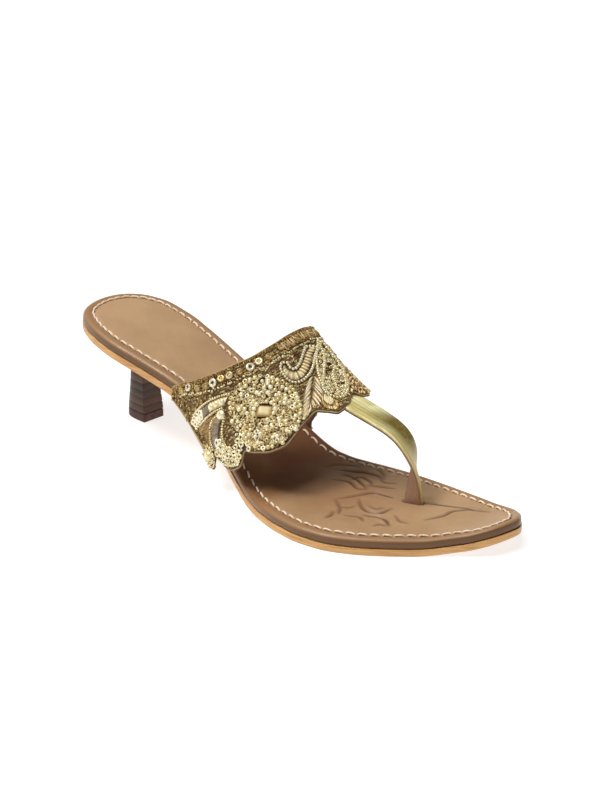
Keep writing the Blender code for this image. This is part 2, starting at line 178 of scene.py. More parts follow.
# Where the band's two long edges cross the last.
BACK_EDGE = Table(
    "around along",
    (0.00, 0.306), (0.06, 0.338), (0.12, 0.370), (0.20, 0.404), (0.30, 0.436), (0.40, 0.460),
    (0.50, 0.471), (0.62, 0.474), (0.75, 0.455), (0.88, 0.400), (1.00, 0.325),
)
FRONT_EDGE = Table(
    "around along",
    (0.000, 0.452), (0.030, 0.500), (0.080, 0.528), (0.125, 0.540), (0.165, 0.537), (0.200, 0.560),
    (0.250, 0.592), (0.310, 0.610), (0.370, 0.608), (0.440, 0.606), (0.475, 0.622), (0.505, 0.638),
    (0.545, 0.636), (0.595, 0.616), (0.630, 0.630), (0.670, 0.628), (0.710, 0.612), (0.760, 0.584),
    (0.820, 0.548), (0.880, 0.515), (0.940, 0.490), (1.000, 0.474),
)
# How the band hangs past the sole's edge, its drop as shares of the sole's thickness.
SKIRT = Table(
    "depth back_drop front_drop flare",
    (0.00, 0.00, 0.00, 0.00), (0.25, 0.22, 0.30, 0.12), (0.50, 0.45, 0.60, 0.35),
    (0.75, 0.60, 0.85, 0.65), (1.00, 0.75, 1.10, 1.00),
)
# The strap's middle line in millimetres, its taper and its share of the twist.
STRAP = Table(
    "along across height taper twist",
    (143.0, 4.4, 48.2, 0.00, 0.00), (150.0, 3.7, 45.2, 0.00, 0.00), (157.0, 3.1, 43.4, 0.00, 0.00),
    (164.0, 2.6, 42.2, 0.00, 0.00), (171.0, 2.2, 41.2, 0.03, 0.00), (178.0, 1.7, 40.1, 0.08, 0.01),
    (184.5, 1.3, 38.6, 0.16, 0.03), (190.0, 0.9, 36.3, 0.26, 0.07), (194.2, 0.5, 32.8, 0.38, 0.14),
    (196.9, 0.2, 28.6, 0.50, 0.25), (198.5, 0.0, 24.0, 0.62, 0.40), (199.1, -0.1, 19.0, 0.72, 0.56),
    (199.0, -0.2, 13.5, 0.80, 0.74), (198.7, -0.3, 8.5, 0.86, 0.90), (198.7, -0.3, 3.7, 0.90, 1.00),
)


@dataclass
class Last:
    """The form that the shoe is built on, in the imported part's own place.

    Everything else asks it for points: x is the distance from the back of the heel, and
    around runs over the band from 0 at the sole's lateral edge to 1 at its medial edge, with
    the skirts that hang past the sole just below 0 and above 1.
    """

    length: float = 253.0 * MM
    ball_width: float = 79.5 * MM
    heel_rise: float = 44.8 * MM
    instep_height: float = 50.0 * MM
    outsole_thickness: float = 3.3 * MM
    insole_thickness: float = 4.2 * MM
    gap: float = 0.3 * MM
    band_stand: float = 3.2 * MM
    skirt_flare: float = 2.0 * MM
    medial_flare: float = 0.8 * MM
    skirt_around: float = 0.06
    crown_around: float = 0.6
    lateral_fullness: tuple[float, float] = (0.50, 0.40)
    medial_fullness: tuple[float, float] = (0.75, 0.55)
    shift: Vector = field(default_factory=Vector)

    def settle(self) -> Last:
        """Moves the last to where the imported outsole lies."""
        low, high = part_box("outsole")
        lateral, _ = self.half_breadths(np.linspace(0.0, self.length, 400))
        self.shift = Vector(((low.x + high.x - self.length) / 2, low.y + lateral.max(), 0.0))
        return self

    def half_breadths(self, x: Array) -> Pair:
        """Lateral and medial half breadth of the outsole at x."""
        share = np.asarray(x) / self.length
        return tuple(OUTLINE.read(side, share, turned) * self.ball_width for side in ("lateral", "medial"))

    def underside(self, x: Array) -> Array:
        """Height of the outsole's underside at x."""
        return RISE.read("rise", np.asarray(x) / self.length) * self.heel_rise

    def lean(self, x: Array) -> Array:
        """How much a thickness grows when it is measured straight up on the slope at x."""
        return np.hypot(1.0, (self.underside(x + MM) - self.underside(x - MM)) / (2 * MM))

    def outsole_top(self, x: Array) -> Array:
        """Height of the outsole's upper side at x."""
        return self.underside(x) + self.outsole_thickness * self.lean(x)

    def insole_top(self, x: Array) -> Array:
        """Height of the insole's upper side at x."""
        return self.outsole_top(x) + self.gap + self.insole_thickness * self.lean(x)

    def placed(self, x: Array, y: Array, z: Array) -> Array:
        """Points of the last's own measure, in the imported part's place."""
        return np.stack(np.broadcast_arrays(x, y, z), -1) + np.array(self.shift)

    def own(self, points: Array) -> Array:
        """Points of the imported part's place, in the last's own measure."""
        return points - np.array(self.shift)

    def over(self, x: Array, around: Array) -> Array:
        """Points of the band's inner face, skirts included."""
        x, around = np.broadcast_arrays(np.asarray(x, float), np.asarray(around, float))
        crown, height, lateral_swell, medial_swell, stand = (
            LAST.read(name, x / self.length) for name in list(LAST.columns)[1:]
        )
        lateral, medial = self.half_breadths(x)
        floor = self.insole_top(x)
        crown, height = crown * self.ball_width, height * self.instep_height
        side = around < self.crown_around
        within = np.clip(around, 0.0, 1.0)
        foot = np.where(side, -lateral - self.gap - stand * self.band_stand, medial + self.gap)
        swell = self.ball_width * np.where(side, -lateral_swell, medial_swell)
        reach = np.where(
            side,
            self.lateral_fullness[0] * (foot - crown),
            self.medial_fullness[0] * (foot + swell - crown),
        )
        up = np.where(side, self.lateral_fullness[1], self.medial_fullness[1]) * height
        s = np.where(side, within / self.crown_around, (1.0 - within) / (1.0 - self.crown_around))
        r = 1.0 - s
        weights = (r**3, 3 * r**2 * s, 3 * r * s**2, s**3)
        y = sum(w * c for w, c in zip(weights, (foot, foot + swell, crown + reach, crown)))
        tall = floor + height
        z = sum(w * c for w, c in zip(weights, (floor, floor + up, tall, tall)))
        depth = np.maximum(-around, around - 1.0) / self.skirt_around
        hung_y, hung_z = self.hang(x, np.clip(depth, 0.0, 1.0), side, stand)
        below = depth > 0.0
        return self.placed(x, np.where(below, hung_y, y), np.where(below, hung_z, z))

    def hang(self, x: Array, depth: Array, side: Array, stand: Array) -> Pair:
        """Where the skirts hang, from the insole's top down.

        Args:
            x: distance from the heel.
            depth: 0 at the insole's top, 1 at the skirt's edge.
            side: true on the lateral side.
            stand: how far the lateral wall stands off there, as a share.

        Returns:
            The y and z of each point, in the last's own measure.
        """
        lateral, medial = self.half_breadths(x)
        back, front, flare = (SKIRT.read(name, depth) for name in list(SKIRT.columns)[1:])
        start, finish = (
            np.where(side, edge.columns["along"][0], edge.columns["along"][-1]) * self.length
            for edge in (BACK_EDGE, FRONT_EDGE)
        )
        share = np.sqrt(np.clip((x - start) / (finish - start), 0.0, 1.0))
        wide = self.medial_flare + (self.skirt_flare - self.medial_flare) * stand
        outer = -(lateral + self.gap + stand * self.band_stand + flare * wide)
        inner = medial + self.gap + self.medial_flare * flare
        top = self.insole_top(x)
        drop = (back + (front - back) * share) * (top - self.underside(x))
        return np.where(side, outer, inner), top - drop

    def edges(self, around: Array) -> Pair:
        """Where the band's back and front edges lie at around, as distances from the heel."""
        within = np.clip(around, 0.0, 1.0)
        return tuple(edge.read("along", within) * self.length for edge in (BACK_EDGE, FRONT_EDGE))

    def outward(self, x: Array, around: Array) -> Array:
        """The band's outward normals."""
        step, turn = 0.2 * MM, 0.002
        around = np.clip(around, turn - self.skirt_around, 1.0 + self.skirt_around - turn)
        along = self.over(x + step, around) - self.over(x - step, around)
        across = self.over(x, around + turn) - self.over(x, around - turn)
        return unit(np.cross(along, across))


@dataclass
class Chart:
    """A flat chart of the band's outer face, from the middle of an ornament.

    inward is measured towards the big toe side and forward towards the toe, along the face.
    """

    last: Last
    centre_x: float = 135.0 * MM
    centre_around: float = 0.313
    wall: float = 2.0 * MM
    steps: int = 16

    def find(self, places: Array) -> Pair:
        """Walks over the last from the chart's middle.

        Args:
            places: millimetres inward and forward.

        Returns:
            x and around at the end of each walk, not a number for one that leaves the last.
        """
        inward, forward = np.asarray(places, float).T * MM
        x = np.full(inward.shape, self.centre_x)
        around = np.full(inward.shape, self.centre_around)
        for _ in range(self.steps):
            here = self.last.over(x, around)
            by_x = (self.last.over(x + 0.1 * MM, around) - here) / (0.1 * MM)
            by_around = (self.last.over(x, around + 1e-3) - here) / 1e-3
            stretch = np.linalg.norm(by_around, axis=-1)
            stretch = np.where(stretch > 0.0, stretch, np.nan)
            lean = np.sum(by_x * by_around, -1) / stretch
            straight = np.sqrt(np.maximum(np.sum(by_x**2, -1) - lean**2, 1e-9))
            step = forward / self.steps / straight
            x = x + step
            around = around + (inward / self.steps - lean * step) / stretch
        return x, around

    def face(self, x: Array, around: Array, lift: float) -> tuple[Array, Array, Array]:
        """Points this far over the band's face, their outward normals and forward directions."""
        normal = self.last.outward(x, around)
        ahead = self.last.over(x + 0.5 * MM, around) - self.last.over(x - 0.5 * MM, around)
        across = unit(self.last.over(x, around + 1e-3) - self.last.over(x, around - 1e-3))
        return (
            self.last.over(x, around) + normal * (self.wall + lift),
            normal,
            square_to(ahead, across, normal),
        )


# ---------------------------------------------------------------- making meshes
def pick(piece: Piece) -> None:
    """Selects one piece alone and makes it the active one."""
    bpy.ops.object.select_all(action="DESELECT")
    piece.select_set(True)
    bpy.context.view_layer.objects.active = piece


def added(operator: Callable, **settings: object) -> Piece:
    """Adds a primitive with nothing else selected."""
    bpy.ops.object.select_all(action="DESELECT")
    operator(**settings)
    return bpy.context.active_object


def points_of(piece: Piece) -> Array:
    """The piece's vertices as rows of x, y and z."""
    flat = np.empty(len(piece.data.vertices) * 3, np.float32)
    piece.data.vertices.foreach_get("co", flat)
    return flat.reshape(-1, 3).astype(float)


def move_points(piece: Piece, points: Array) -> None:
    """Puts the piece's vertices at new places."""
    piece.data.vertices.foreach_set("co", np.asarray(points, np.float32).ravel())
    piece.data.update()


def mark(piece: Piece, **values: Array) -> None:
    """Stores numbers on each vertex under their names, for a finish to read."""
    for name, column in values.items():
        attribute = piece.data.attributes.new(name, "FLOAT", "POINT")
        attribute.data.foreach_set("value", np.asarray(column, np.float32).ravel())


def close_up(piece: Piece) -> None:
    """Merges the vertices that meet at seams and poles and turns the faces outwards."""
    pick(piece)
    bpy.ops.object.mode_set(mode="EDIT")
    bpy.ops.mesh.select_all(action="SELECT")
    bpy.ops.mesh.remove_doubles(threshold=0.004 * MM)
    bpy.ops.mesh.dissolve_degenerate(threshold=0.001 * MM)
    bpy.ops.mesh.select_all(action="SELECT")
    bpy.ops.mesh.normals_make_consistent(inside=False)
    bpy.ops.object.mode_set(mode="OBJECT")


def thicken(piece: Piece, thickness: float, turn_over: bool) -> None:
    """Gives an open sheet a wall on its inner side.

    Args:
        piece: the sheet.
        thickness: the wall's thickness.
        turn_over: true where its faces look inwards and have to be turned first.
    """
    pick(piece)
    if turn_over:
        bpy.ops.object.mode_set(mode="EDIT")
        bpy.ops.mesh.select_all(action="SELECT")
        bpy.ops.mesh.flip_normals()
        bpy.ops.object.mode_set(mode="OBJECT")
    modifier = piece.modifiers.new("wall", "SOLIDIFY")
    modifier.thickness, modifier.offset = thickness, -1.0
    bpy.ops.object.modifier_apply(modifier=modifier.name)


def soften(piece: Piece, angle: float = 180.0) -> Piece:
    """Shades the piece smooth, apart from edges sharper than an angle in degrees."""
    pick(piece)
    if angle >= 180.0:
        bpy.ops.object.shade_smooth()
    else:
        bpy.ops.object.shade_smooth_by_angle(angle=math.radians(angle))
    return piece


def sheet(
    name: str, columns: int, rows: int, shape: Callable[[Array, Array], Array], closed: bool = False
) -> Piece:
    """Adds a grid and lays it out over a surface.

    Args:
        name: the piece's name.
        columns: how many faces along u.
        rows: how many faces along v.
        shape: gives each vertex's place from its u, 0 to 1, and its row, 0 to rows.
        closed: true when the sheet meets itself all round.

    Returns:
        The new piece.
    """
    piece = added(
        bpy.ops.mesh.primitive_grid_add, x_subdivisions=columns, y_subdivisions=rows, size=2.0
    )
    piece.name = piece.data.name = name
    flat = points_of(piece)
    u = np.round((flat[:, 0] + 1.0) / 2.0 * columns) / columns
    row = np.round((flat[:, 1] + 1.0) / 2.0 * rows).astype(int)
    move_points(piece, shape(u, row))
    if closed:
        close_up(piece)
    return piece


def cord(name: str, path: Array, radius: float, sides: int = 8) -> Piece:
    """Sweeps a round cord with rounded ends along a path.

    Args:
        name: the piece's name.
        path: the middle line's points.
        radius: the cord's radius.
        sides: how many faces round it.

    Returns:
        The new piece.
    """
    ahead = unit(np.gradient(path, axis=0))
    side = np.empty_like(ahead)
    across = np.array((0.0, 0.0, 1.0)) if abs(ahead[0, 2]) < 0.9 else np.array((0.0, 1.0, 0.0))
    for i, direction in enumerate(ahead):
        across = across - np.dot(across, direction) * direction
        across = side[i] = across / np.linalg.norm(across)
    up = np.cross(ahead, side)
    last = len(path) - 1
    reach = np.ones(len(path))
    reach[[0, -1]] = 0.0
    reach[[1, -2]] = 0.8

    def shape(u: Array, row: Array) -> Array:
        """Round the cord at one place of the path."""
        i = np.round(u * last).astype(int)
        turn = 2 * math.pi * row / sides
        wide = (radius * reach[i])[:, None]
        return path[i] + wide * (np.cos(turn)[:, None] * side[i] + np.sin(turn)[:, None] * up[i])

    return soften(sheet(name, last, sides, shape, closed=True))


class Motif(NamedTuple):
    """A small shape to be repeated: x runs along a row, y across it and z off the surface."""

    points: Array
    corners: Array
    starts: Array
    # shade is painted shade: in holes, where strung beads meet, under round beads and where threads and
    # stitches go into the cloth.
    shade: Array


def motif_from(piece: Piece, shade: Callable[[Array], Array]) -> Motif:
    """Takes a modelled shape apart for repeating, and removes it.

    A primitive's faces don't come in the same order every run, so they are sorted.

    Args:
        piece: the shape, about one unit in size.
        shade: gives a number on each vertex that the finish reads.

    Returns:
        The shape as arrays.
    """
    faces = sorted(list(face.vertices) for face in piece.data.polygons)
    starts = np.cumsum([0] + [len(face) for face in faces[:-1]])
    points = points_of(piece)
    bpy.data.objects.remove(piece)
    return Motif(points, np.concatenate(faces), starts, shade(points))


class Copies(NamedTuple):
    """Where the copies of a motif lie and how each is turned, sized and tinted."""

    centre: Array
    ahead: Array
    normal: Array
    size: Array
    tint: Array

    def kept(self, keep: Array) -> Copies:
        """The copies that a mask picks."""
        return Copies(*(column[keep] for column in self))

    def build(self, name: str, motif: Motif) -> Piece:
        """Makes one joined mesh of all the copies.

        Args:
            name: the piece's name.
            motif: the shape that is repeated.

        Returns:
            The piece, with a tint and a shade on each vertex.
        """
        side = np.cross(self.normal, self.ahead)
        turned_by = np.stack((self.ahead, side, self.normal), axis=1)
        local = motif.points[None, :, :] * self.size[:, None, :]
        points = self.centre[:, None, :] + np.einsum("nkj,nji->nki", local, turned_by)
        count, each = len(self.centre), len(motif.points)
        which = np.arange(count)[:, None]
        corners = (which * each + motif.corners[None, :]).ravel()
        starts = (which * len(motif.corners) + motif.starts[None, :]).ravel()
        mesh = bpy.data.meshes.new(name)
        mesh.vertices.add(count * each)
        mesh.vertices.foreach_set("co", points.astype(np.float32).ravel())
        mesh.loops.add(len(corners))
        mesh.loops.foreach_set("vertex_index", corners.astype(np.int32))
        mesh.polygons.add(len(starts))
        mesh.polygons.foreach_set("loop_start", starts.astype(np.int32))
        mesh.update(calc_edges=True)
        piece = bpy.data.objects.new(name, mesh)
        bpy.context.scene.collection.objects.link(piece)
        mark(piece, tint=np.repeat(self.tint, each), shade=np.tile(motif.shade, count))
        return soften(piece)


def flowing(points: Line, steps: int = 12, closed: bool = False) -> Array:
    """A soft curve through given points.

    Args:
        points: the points, in any number of dimensions.
        steps: how many pieces each span is cut into.
        closed: true when the curve returns to its start.

    Returns:
        Points close together along the curve.
    """
    p = np.asarray(points, float)
    if closed:
        p = np.vstack((p[-1], p, p[0], p[1]))
    else:
        p = np.vstack((2 * p[0] - p[1], p, 2 * p[-1] - p[-2]))
    s = np.linspace(0.0, 1.0, steps, endpoint=False)[None, :, None]
    a, b, c, d = (p[k : len(p) - 3 + k, None, :] for k in range(4))
    curve = 0.5 * (
        2 * b + (c - a) * s + (2 * a - 5 * b + 4 * c - d) * s**2 + (3 * b - a - 3 * c + d) * s**3
    )
    curve = curve.reshape(-1, p.shape[1])
    return curve if closed else np.vstack((curve, p[-2]))


def spaced(path: Array, pitch: float, closed: bool = False) -> Pair:
    """Even places along a path.

    Args:
        path: the path's points.
        pitch: about how far apart the places are.
        closed: true when the path returns to its start.

    Returns:
        The places and the directions along the path there.
    """
    line = np.vstack((path, path[:1])) if closed else path
    reach = travelled(line)
    count = max(2, int(round(reach[-1] / pitch)) + (0 if closed else 1))
    at = np.linspace(0.0, reach[-1], count, endpoint=not closed)
    small = reach[-1] * 1e-3
    place, low, high = (
        np.stack([np.interp(spot, reach, column) for column in line.T], -1)
        for spot in (at, np.clip(at - small, 0, reach[-1]), np.clip(at + small, 0, reach[-1]))
    )
    return place, unit(high - low)


def shares(path: Array, at: Array) -> Array:
    """The path's points at shares of its count."""
    return path[np.round(at * (len(path) - 1)).astype(int)]


def inside(outline: Array, places: Array) -> Array:
    """True for the places that lie inside a closed outline."""
    x, y = places.T[:, :, None]
    x1, y1 = outline.T[:, None]
    x2, y2 = np.roll(outline, -1, axis=0).T[:, None]
    crosses = (y1 > y) != (y2 > y)
    with np.errstate(divide="ignore", invalid="ignore"):
        cut = x1 + (y - y1) / (y2 - y1) * (x2 - x1)
    return (np.sum(crosses & (x < cut), axis=1) % 2) == 1


def nearest(path: Array, places: Array) -> Array:
    """How far each place is from a path's points."""
    return np.sqrt(np.min(np.sum((places[:, None] - path[None]) ** 2, axis=-1), axis=1))


def smoothly(value: Array) -> Array:
    """A soft step from 0 to 1."""
    value = np.clip(value, 0.0, 1.0)
    return value * value * (3.0 - 2.0 * value)


# ---------------------------------------------------------------- finishes
Colour = tuple[float, float, float, float]
Feed = float | Span | Socket


def tone(red: float, green: float, blue: float) -> Colour:
    """A colour given as seen, from 0 to 255, for a shader."""
    seen = (channel / 255.0 for channel in (red, green, blue))
    return *(v / 12.92 if v <= 0.04045 else ((v + 0.055) / 1.055) ** 2.4 for v in seen), 1.0


class Graph:
    """The nodes of a material or of the air, made by nested calls."""

    def __init__(self, name: str, kind: str = "materials") -> None:
        """Starts an empty one of its kind."""
        self.owner = getattr(bpy.data, kind).new(name)
        self.owner.use_nodes = True
        self.tree = self.owner.node_tree
        self.tree.nodes.clear()

    def node(self, kind: str, feeds: dict, **settings: object) -> bpy.types.Node:
        """Adds a node, sets it up and feeds its sockets.

        Args:
            kind: the node's type, without its prefix.
            feeds: values or sockets for the inputs, by name or number.
            **settings: the node's own properties.

        Returns:
            The node.
        """
        made = self.tree.nodes.new("ShaderNode" + kind)
        for name, value in settings.items():
            setattr(made, name, value)
        for key, value in feeds.items():
            if isinstance(value, Socket):
                self.tree.links.new(value, made.inputs[key])
            else:
                made.inputs[key].default_value = value
        return made

    def place(self, stretch: Span = (1.0, 1.0, 1.0)) -> Socket:
        """Object coordinates, stretched."""
        spot = self.node("TexCoord", {}).outputs["Object"]
        return self.node("Mapping", {"Vector": spot, "Scale": stretch}).outputs[0]

    def noise(
        self,
        size: float,
        detail: float = 3.0,
        rough: float = 0.55,
        stretch: Span = (1.0, 1.0, 1.0),
        swirl: float = 0.0,
        at: Socket | None = None,
    ) -> Socket:
        """Soft noise with blotches about this size."""
        feeds = {"Vector": at or self.place(stretch), "Scale": 1.0 / size, "Detail": detail}
        feeds |= {"Roughness": rough, "Distortion": swirl}
        return self.node("TexNoise", feeds).outputs["Fac"]

    def cells(self, size: float, wander: float = 1.0) -> Socket:
        """Distance from the middles of irregular cells about this size."""
        feeds = {"Vector": self.place(), "Scale": 1.0 / size, "Randomness": wander}
        return self.node("TexVoronoi", feeds).outputs["Distance"]

    def stored(self, name: str) -> Socket:
        """A number stored on the piece's vertices."""
        return self.node("Attribute", {}, attribute_name=name).outputs["Fac"]

    def math(self, operation: str, first: Feed, second: Feed) -> Socket:
        """A sum, product or the like."""
        return self.node("Math", {0: first, 1: second}, operation=operation).outputs[0]

    def span(
        self, value: Feed, low: float, high: float, to_low: float = 0.0, to_high: float = 1.0
    ) -> Socket:
        """A value carried from one range to another, and kept inside it."""
        feeds = {"Value": value, "From Min": low, "From Max": high, "To Min": to_low, "To Max": to_high}
        return self.node("MapRange", feeds, clamp=True).outputs[0]

    def mix(self, share: Feed, first: Feed, second: Feed) -> Socket:
        """One colour fading into another."""
        return self.node("Mix", {0: share, 6: first, 7: second}, data_type="RGBA").outputs[2]

    def fade(
        self, first: Feed, second: Feed, value: Feed, low: float, high: float, most: float = 1.0
    ) -> Socket:
        """One colour fading into another, up to a most, as a value goes from low to high."""
        return self.mix(self.span(value, low, high, 0.0, most), first, second)

    def bump(self, height: Feed, depth: float, under: Socket | None = None) -> Socket:
        """A surface raised by this much where the height is one."""
        feeds = {"Height": height, "Distance": depth, "Strength": 1.0}
        return self.node("Bump", feeds | ({"Normal": under} if under else {})).outputs[0]

    def surface(
        self, colour: Feed, roughness: Feed, normal: Socket | None = None, **constants: Feed
    ) -> Material:
        """Ends the graph in a shader.

        Args:
            colour: the base colour.
            roughness: the roughness.
            normal: the bumped normal.
            **constants: other sockets of the shader, with _ for a space.

        Returns:
            The finished material.
        """
        feeds = {"Base Color": colour, "Roughness": roughness} | ({"Normal": normal} if normal else {})
        feeds |= {name.replace("_", " "): value for name, value in constants.items()}
        shader = self.node("BsdfPrincipled", feeds)
        self.node("OutputMaterial", {0: shader.outputs[0]})
        return self.owner


@dataclass(frozen=True)
class CoverLeather:
    """Tan cover leather: fine pores, soft cloudy wear, a rim darker partly by its burnished edge and partly
    by painted shade, and painted shade under and ahead of the band.
    """

    name: str = "cover_leather"
    pale: Colour = tone(194, 158, 118)
    deep: Colour = tone(176, 141, 104)
    rim: Colour = tone(160, 122, 84)
    edge: Colour = tone(104, 72, 42)
    shade_warmth: Colour = tone(142, 96, 56)
    shade_brown: Colour = tone(86, 44, 24)
    groove: Colour = tone(74, 46, 29)

    def make(self) -> Material:
        """The finish, reading rim, groove and the painted shade under the band from the vertices."""
        g = Graph(self.name)
        rim, damp = g.stored("rim"), g.stored("damp")
        base = g.fade(self.pale, self.deep, g.noise(32 * MM, 4.0), 0.35, 0.68)
        base = g.fade(base, self.rim, g.noise(1.4 * MM), 0.35, 0.75, 0.18)
        # The rolled rim darkens partly for its real burnished edge and partly as painted shade on its side.
        base = g.fade(base, self.rim, rim, 0.05, 0.45)
        base = g.fade(base, self.edge, rim, 0.5, 0.95)
        base = g.fade(base, self.groove, g.stored("groove"), 0.05, 0.9, 0.9)
        cloud = g.span(g.noise(14 * MM, 4.0), 0.3, 0.6, 0.5, 1.0)
        # Painted shade under and ahead of the band: a warm shade tint in clouds, then a deep shade brown.
        base = g.mix(g.math("MULTIPLY", g.span(damp, 0.0, 0.5, 0.0, 0.75), cloud), base, self.shade_warmth)
        base = g.fade(base, self.shade_brown, damp, 0.4, 1.0, 0.65)
        pores = g.span(g.cells(0.55 * MM), 0.0, 0.35)
        creases = g.noise(3.2 * MM, 4.0, 0.6, swirl=0.8)
        normal = g.bump(pores, 0.02 * MM, g.bump(creases, 0.10 * MM))
        gloss = g.span(g.noise(9 * MM), 0.3, 0.7, 0.42, 0.56)
        gloss = g.math("SUBTRACT", gloss, g.span(rim, 0.1, 0.8, 0.0, 0.14))
        return g.surface(base, gloss, normal, Coat_Weight=0.04, Specular_IOR_Level=0.35)


@dataclass(frozen=True)
class SoleLeather:
    """Vegetable tanned sole leather: fibrous pale edge, smooth tan underside with scuffs."""

    name: str = "sole_leather"
    edge: Colour = tone(218, 168, 102)
    fibre: Colour = tone(182, 128, 72)
    under: Colour = tone(198, 150, 100)
    scuff: Colour = tone(140, 104, 74)

    def make(self) -> Material:
        """The finish, reading from the vertices how far a place is round the edge."""
        g = Graph(self.name)
        layers = g.noise(5 * MM, 4.0, 0.6, (0.35, 0.35, 6.0))
        base = g.fade(self.edge, self.fibre, layers, 0.35, 0.7)
        blot = g.span(g.noise(22 * MM, 5.0, 0.6), 0.45, 0.75)
        scratch = g.span(g.noise(7 * MM, 5.0, 0.7, (1.0, 7.0, 1.0)), 0.56, 0.78, 0.0, 0.6)
        below = g.mix(scratch, g.mix(blot, self.under, self.scuff), self.edge)
        base = g.mix(g.stored("below"), base, below)
        grain = g.bump(layers, 0.12 * MM, g.bump(g.noise(1.2 * MM), 0.04 * MM))
        return g.surface(base, g.span(blot, 0.0, 1.0, 0.4, 0.55), grain)


@dataclass(frozen=True)
class StackedLeather:
    """Dark stained leather lifts, each a little different, with fine edges showing."""

    name: str = "stacked_leather"
    deep: Colour = tone(42, 25, 14)
    mid: Colour = tone(74, 46, 27)
    pale: Colour = tone(118, 80, 46)
    joint: Colour = tone(34, 22, 17)

    def make(self) -> Material:
        """The finish, reading each lift's tint from the vertices."""
        g = Graph(self.name)
        grain = g.noise(3.2 * MM, 5.0, 0.65, (0.5, 0.5, 9.0))
        base = g.mix(g.stored("tint"), self.deep, self.mid)
        base = g.fade(base, self.pale, grain, 0.45, 0.75, 0.55)
        base = g.mix(g.stored("joint"), base, self.joint)
        rough = g.span(grain, 0.3, 0.7, 0.38, 0.55)
        return g.surface(base, rough, g.bump(grain, 0.1 * MM), Coat_Weight=0.05, Specular_IOR_Level=0.35)


@dataclass(frozen=True)
class Rubber:
    """Firm dark rubber with fine pits."""

    name: str = "top_piece_rubber"
    colour: Colour = tone(74, 42, 34)
    worn: Colour = tone(104, 70, 58)

    def make(self) -> Material:
        """The finish."""
        g = Graph(self.name)
        speck = g.noise(0.8 * MM, 4.0, 0.7)
        base = g.fade(self.colour, self.worn, g.noise(6 * MM, 4.0), 0.5, 0.75)
        return g.surface(base, g.span(speck, 0.3, 0.7, 0.5, 0.68), g.bump(speck, 0.05 * MM))


@dataclass(frozen=True)
class LiningLeather:
    """Soft brown lining leather with a slight nap."""

    name: str = "lining_leather"
    colour: Colour = tone(128, 90, 66)
    deep: Colour = tone(94, 62, 44)

    def make(self) -> Material:
        """The finish."""
        g = Graph(self.name)
        nap = g.noise(0.7 * MM, 4.0, 0.7)
        base = g.fade(self.colour, self.deep, g.noise(8 * MM, 4.0), 0.35, 0.7)
        base = g.fade(base, self.deep, nap, 0.5, 0.8, 0.4)
        return g.surface(base, g.span(nap, 0.3, 0.7, 0.62, 0.78), g.bump(nap, 0.05 * MM))


@dataclass(frozen=True)
class GoldLeather:
    """Foiled kid leather: metallic gold, finely crinkled, with painted reflections and painted shade: pale
    and dark streaks, an olive shade at the bend, a duller lower end and darker crinkle hollows.
    """

    name: str = "gold_leather"
    gold: Colour = tone(255, 250, 194)
    deep: Colour = tone(206, 184, 98)
    shade_olive: Colour = tone(112, 94, 34)
    painted_lower_tone: Colour = tone(214, 192, 138)

    def make(self) -> Material:
        """The finish, placing its painted shade and reflections by how far along and across the strap a place
        is, read from the vertices.
        """
        g = Graph(self.name)
        folds = g.noise(2.6 * MM, 5.0, 0.62, swirl=1.2)
        along, across = g.stored("along"), g.stored("across")

        def reflection_streak(long: float, wide: float, low: float, high: float, most: float) -> Socket:
            """Painted reflection streaks: noise drawn out along the strap, this many blotches long and wide.
            """
            feeds = {0: g.math("MULTIPLY", along, long), 1: g.math("MULTIPLY", across, wide), 2: 0.4}
            drawn = g.noise(1.0, 3.0, 0.5, at=g.node("CombineXYZ", feeds).outputs[0])
            return g.span(drawn, low, high, 0.0, most)

        # Painted reflections: pale and darker streaks along the strap.
        base = g.mix(reflection_streak(4.0, 1.6, 0.46, 0.62, 0.7), self.gold, self.deep)
        base = g.mix(reflection_streak(3.0, 6.0, 0.50, 0.66, 0.5), base, self.shade_olive)
        # Painted shade across the bend, heavier on one side, and a duller painted tone below it.
        bend_shade = g.math("MULTIPLY", g.span(along, 0.32, 0.47), g.span(across, -0.8, 0.1, 0.25, 1.0))
        base = g.mix(bend_shade, base, self.shade_olive)
        base = g.fade(base, self.painted_lower_tone, along, 0.60, 0.76)
        # Painted shade in the hollows of the crinkles.
        base = g.fade(base, self.deep, folds, 0.5, 0.32, 0.4)
        normal = g.bump(g.cells(0.7 * MM), 0.03 * MM, g.bump(folds, 0.10 * MM))
        return g.surface(base, g.span(folds, 0.3, 0.7, 0.30, 0.46), normal, Metallic=0.12)


@dataclass(frozen=True)
class GroundCloth:
    """The dark cloth that the embroidery is worked on, a close plain weave."""

    name: str = "ground_cloth"
    warp: Colour = tone(112, 82, 42)
    weft: Colour = tone(70, 48, 24)
    pitch: float = 0.5 * MM

    def make(self) -> Material:
        """The finish."""
        g = Graph(self.name)
        lattice = g.cells(self.pitch, 0.35)
        cloud = g.span(g.noise(7 * MM), 0.35, 0.7)
        base = g.fade(g.mix(cloud, self.warp, self.weft), self.weft, lattice, 0.1, 0.6)
        return g.surface(base, 0.7, g.bump(lattice, 0.1 * MM), Sheen_Weight=0.2)


@dataclass(frozen=True)
class MetalThread:
    """Gilt thread laid in stitches, each stitch with its own tint and a twisted surface."""

    name: str
    deep: Colour
    mid: Colour
    bright: Colour
    metal: float

    def make(self) -> Material:
        """The finish, reading tint and shade from the vertices."""
        g = Graph(self.name)
        tint = g.stored("tint")
        base = g.fade(self.deep, self.mid, tint, 0.0, 0.6)
        base = g.fade(base, self.bright, tint, 0.6, 1.0)
        # Painted shade from the motif: at thread ends, in chain stitch holes and where strung beads meet.
        base = g.fade(base, self.deep, g.stored("shade"), 0.0, 1.0, 0.8)
        twist = g.bump(g.noise(0.35 * MM, 2.0, 0.5), 0.06 * MM)
        return g.surface(base, 0.38, twist, Metallic=self.metal, Specular_IOR_Level=0.35)


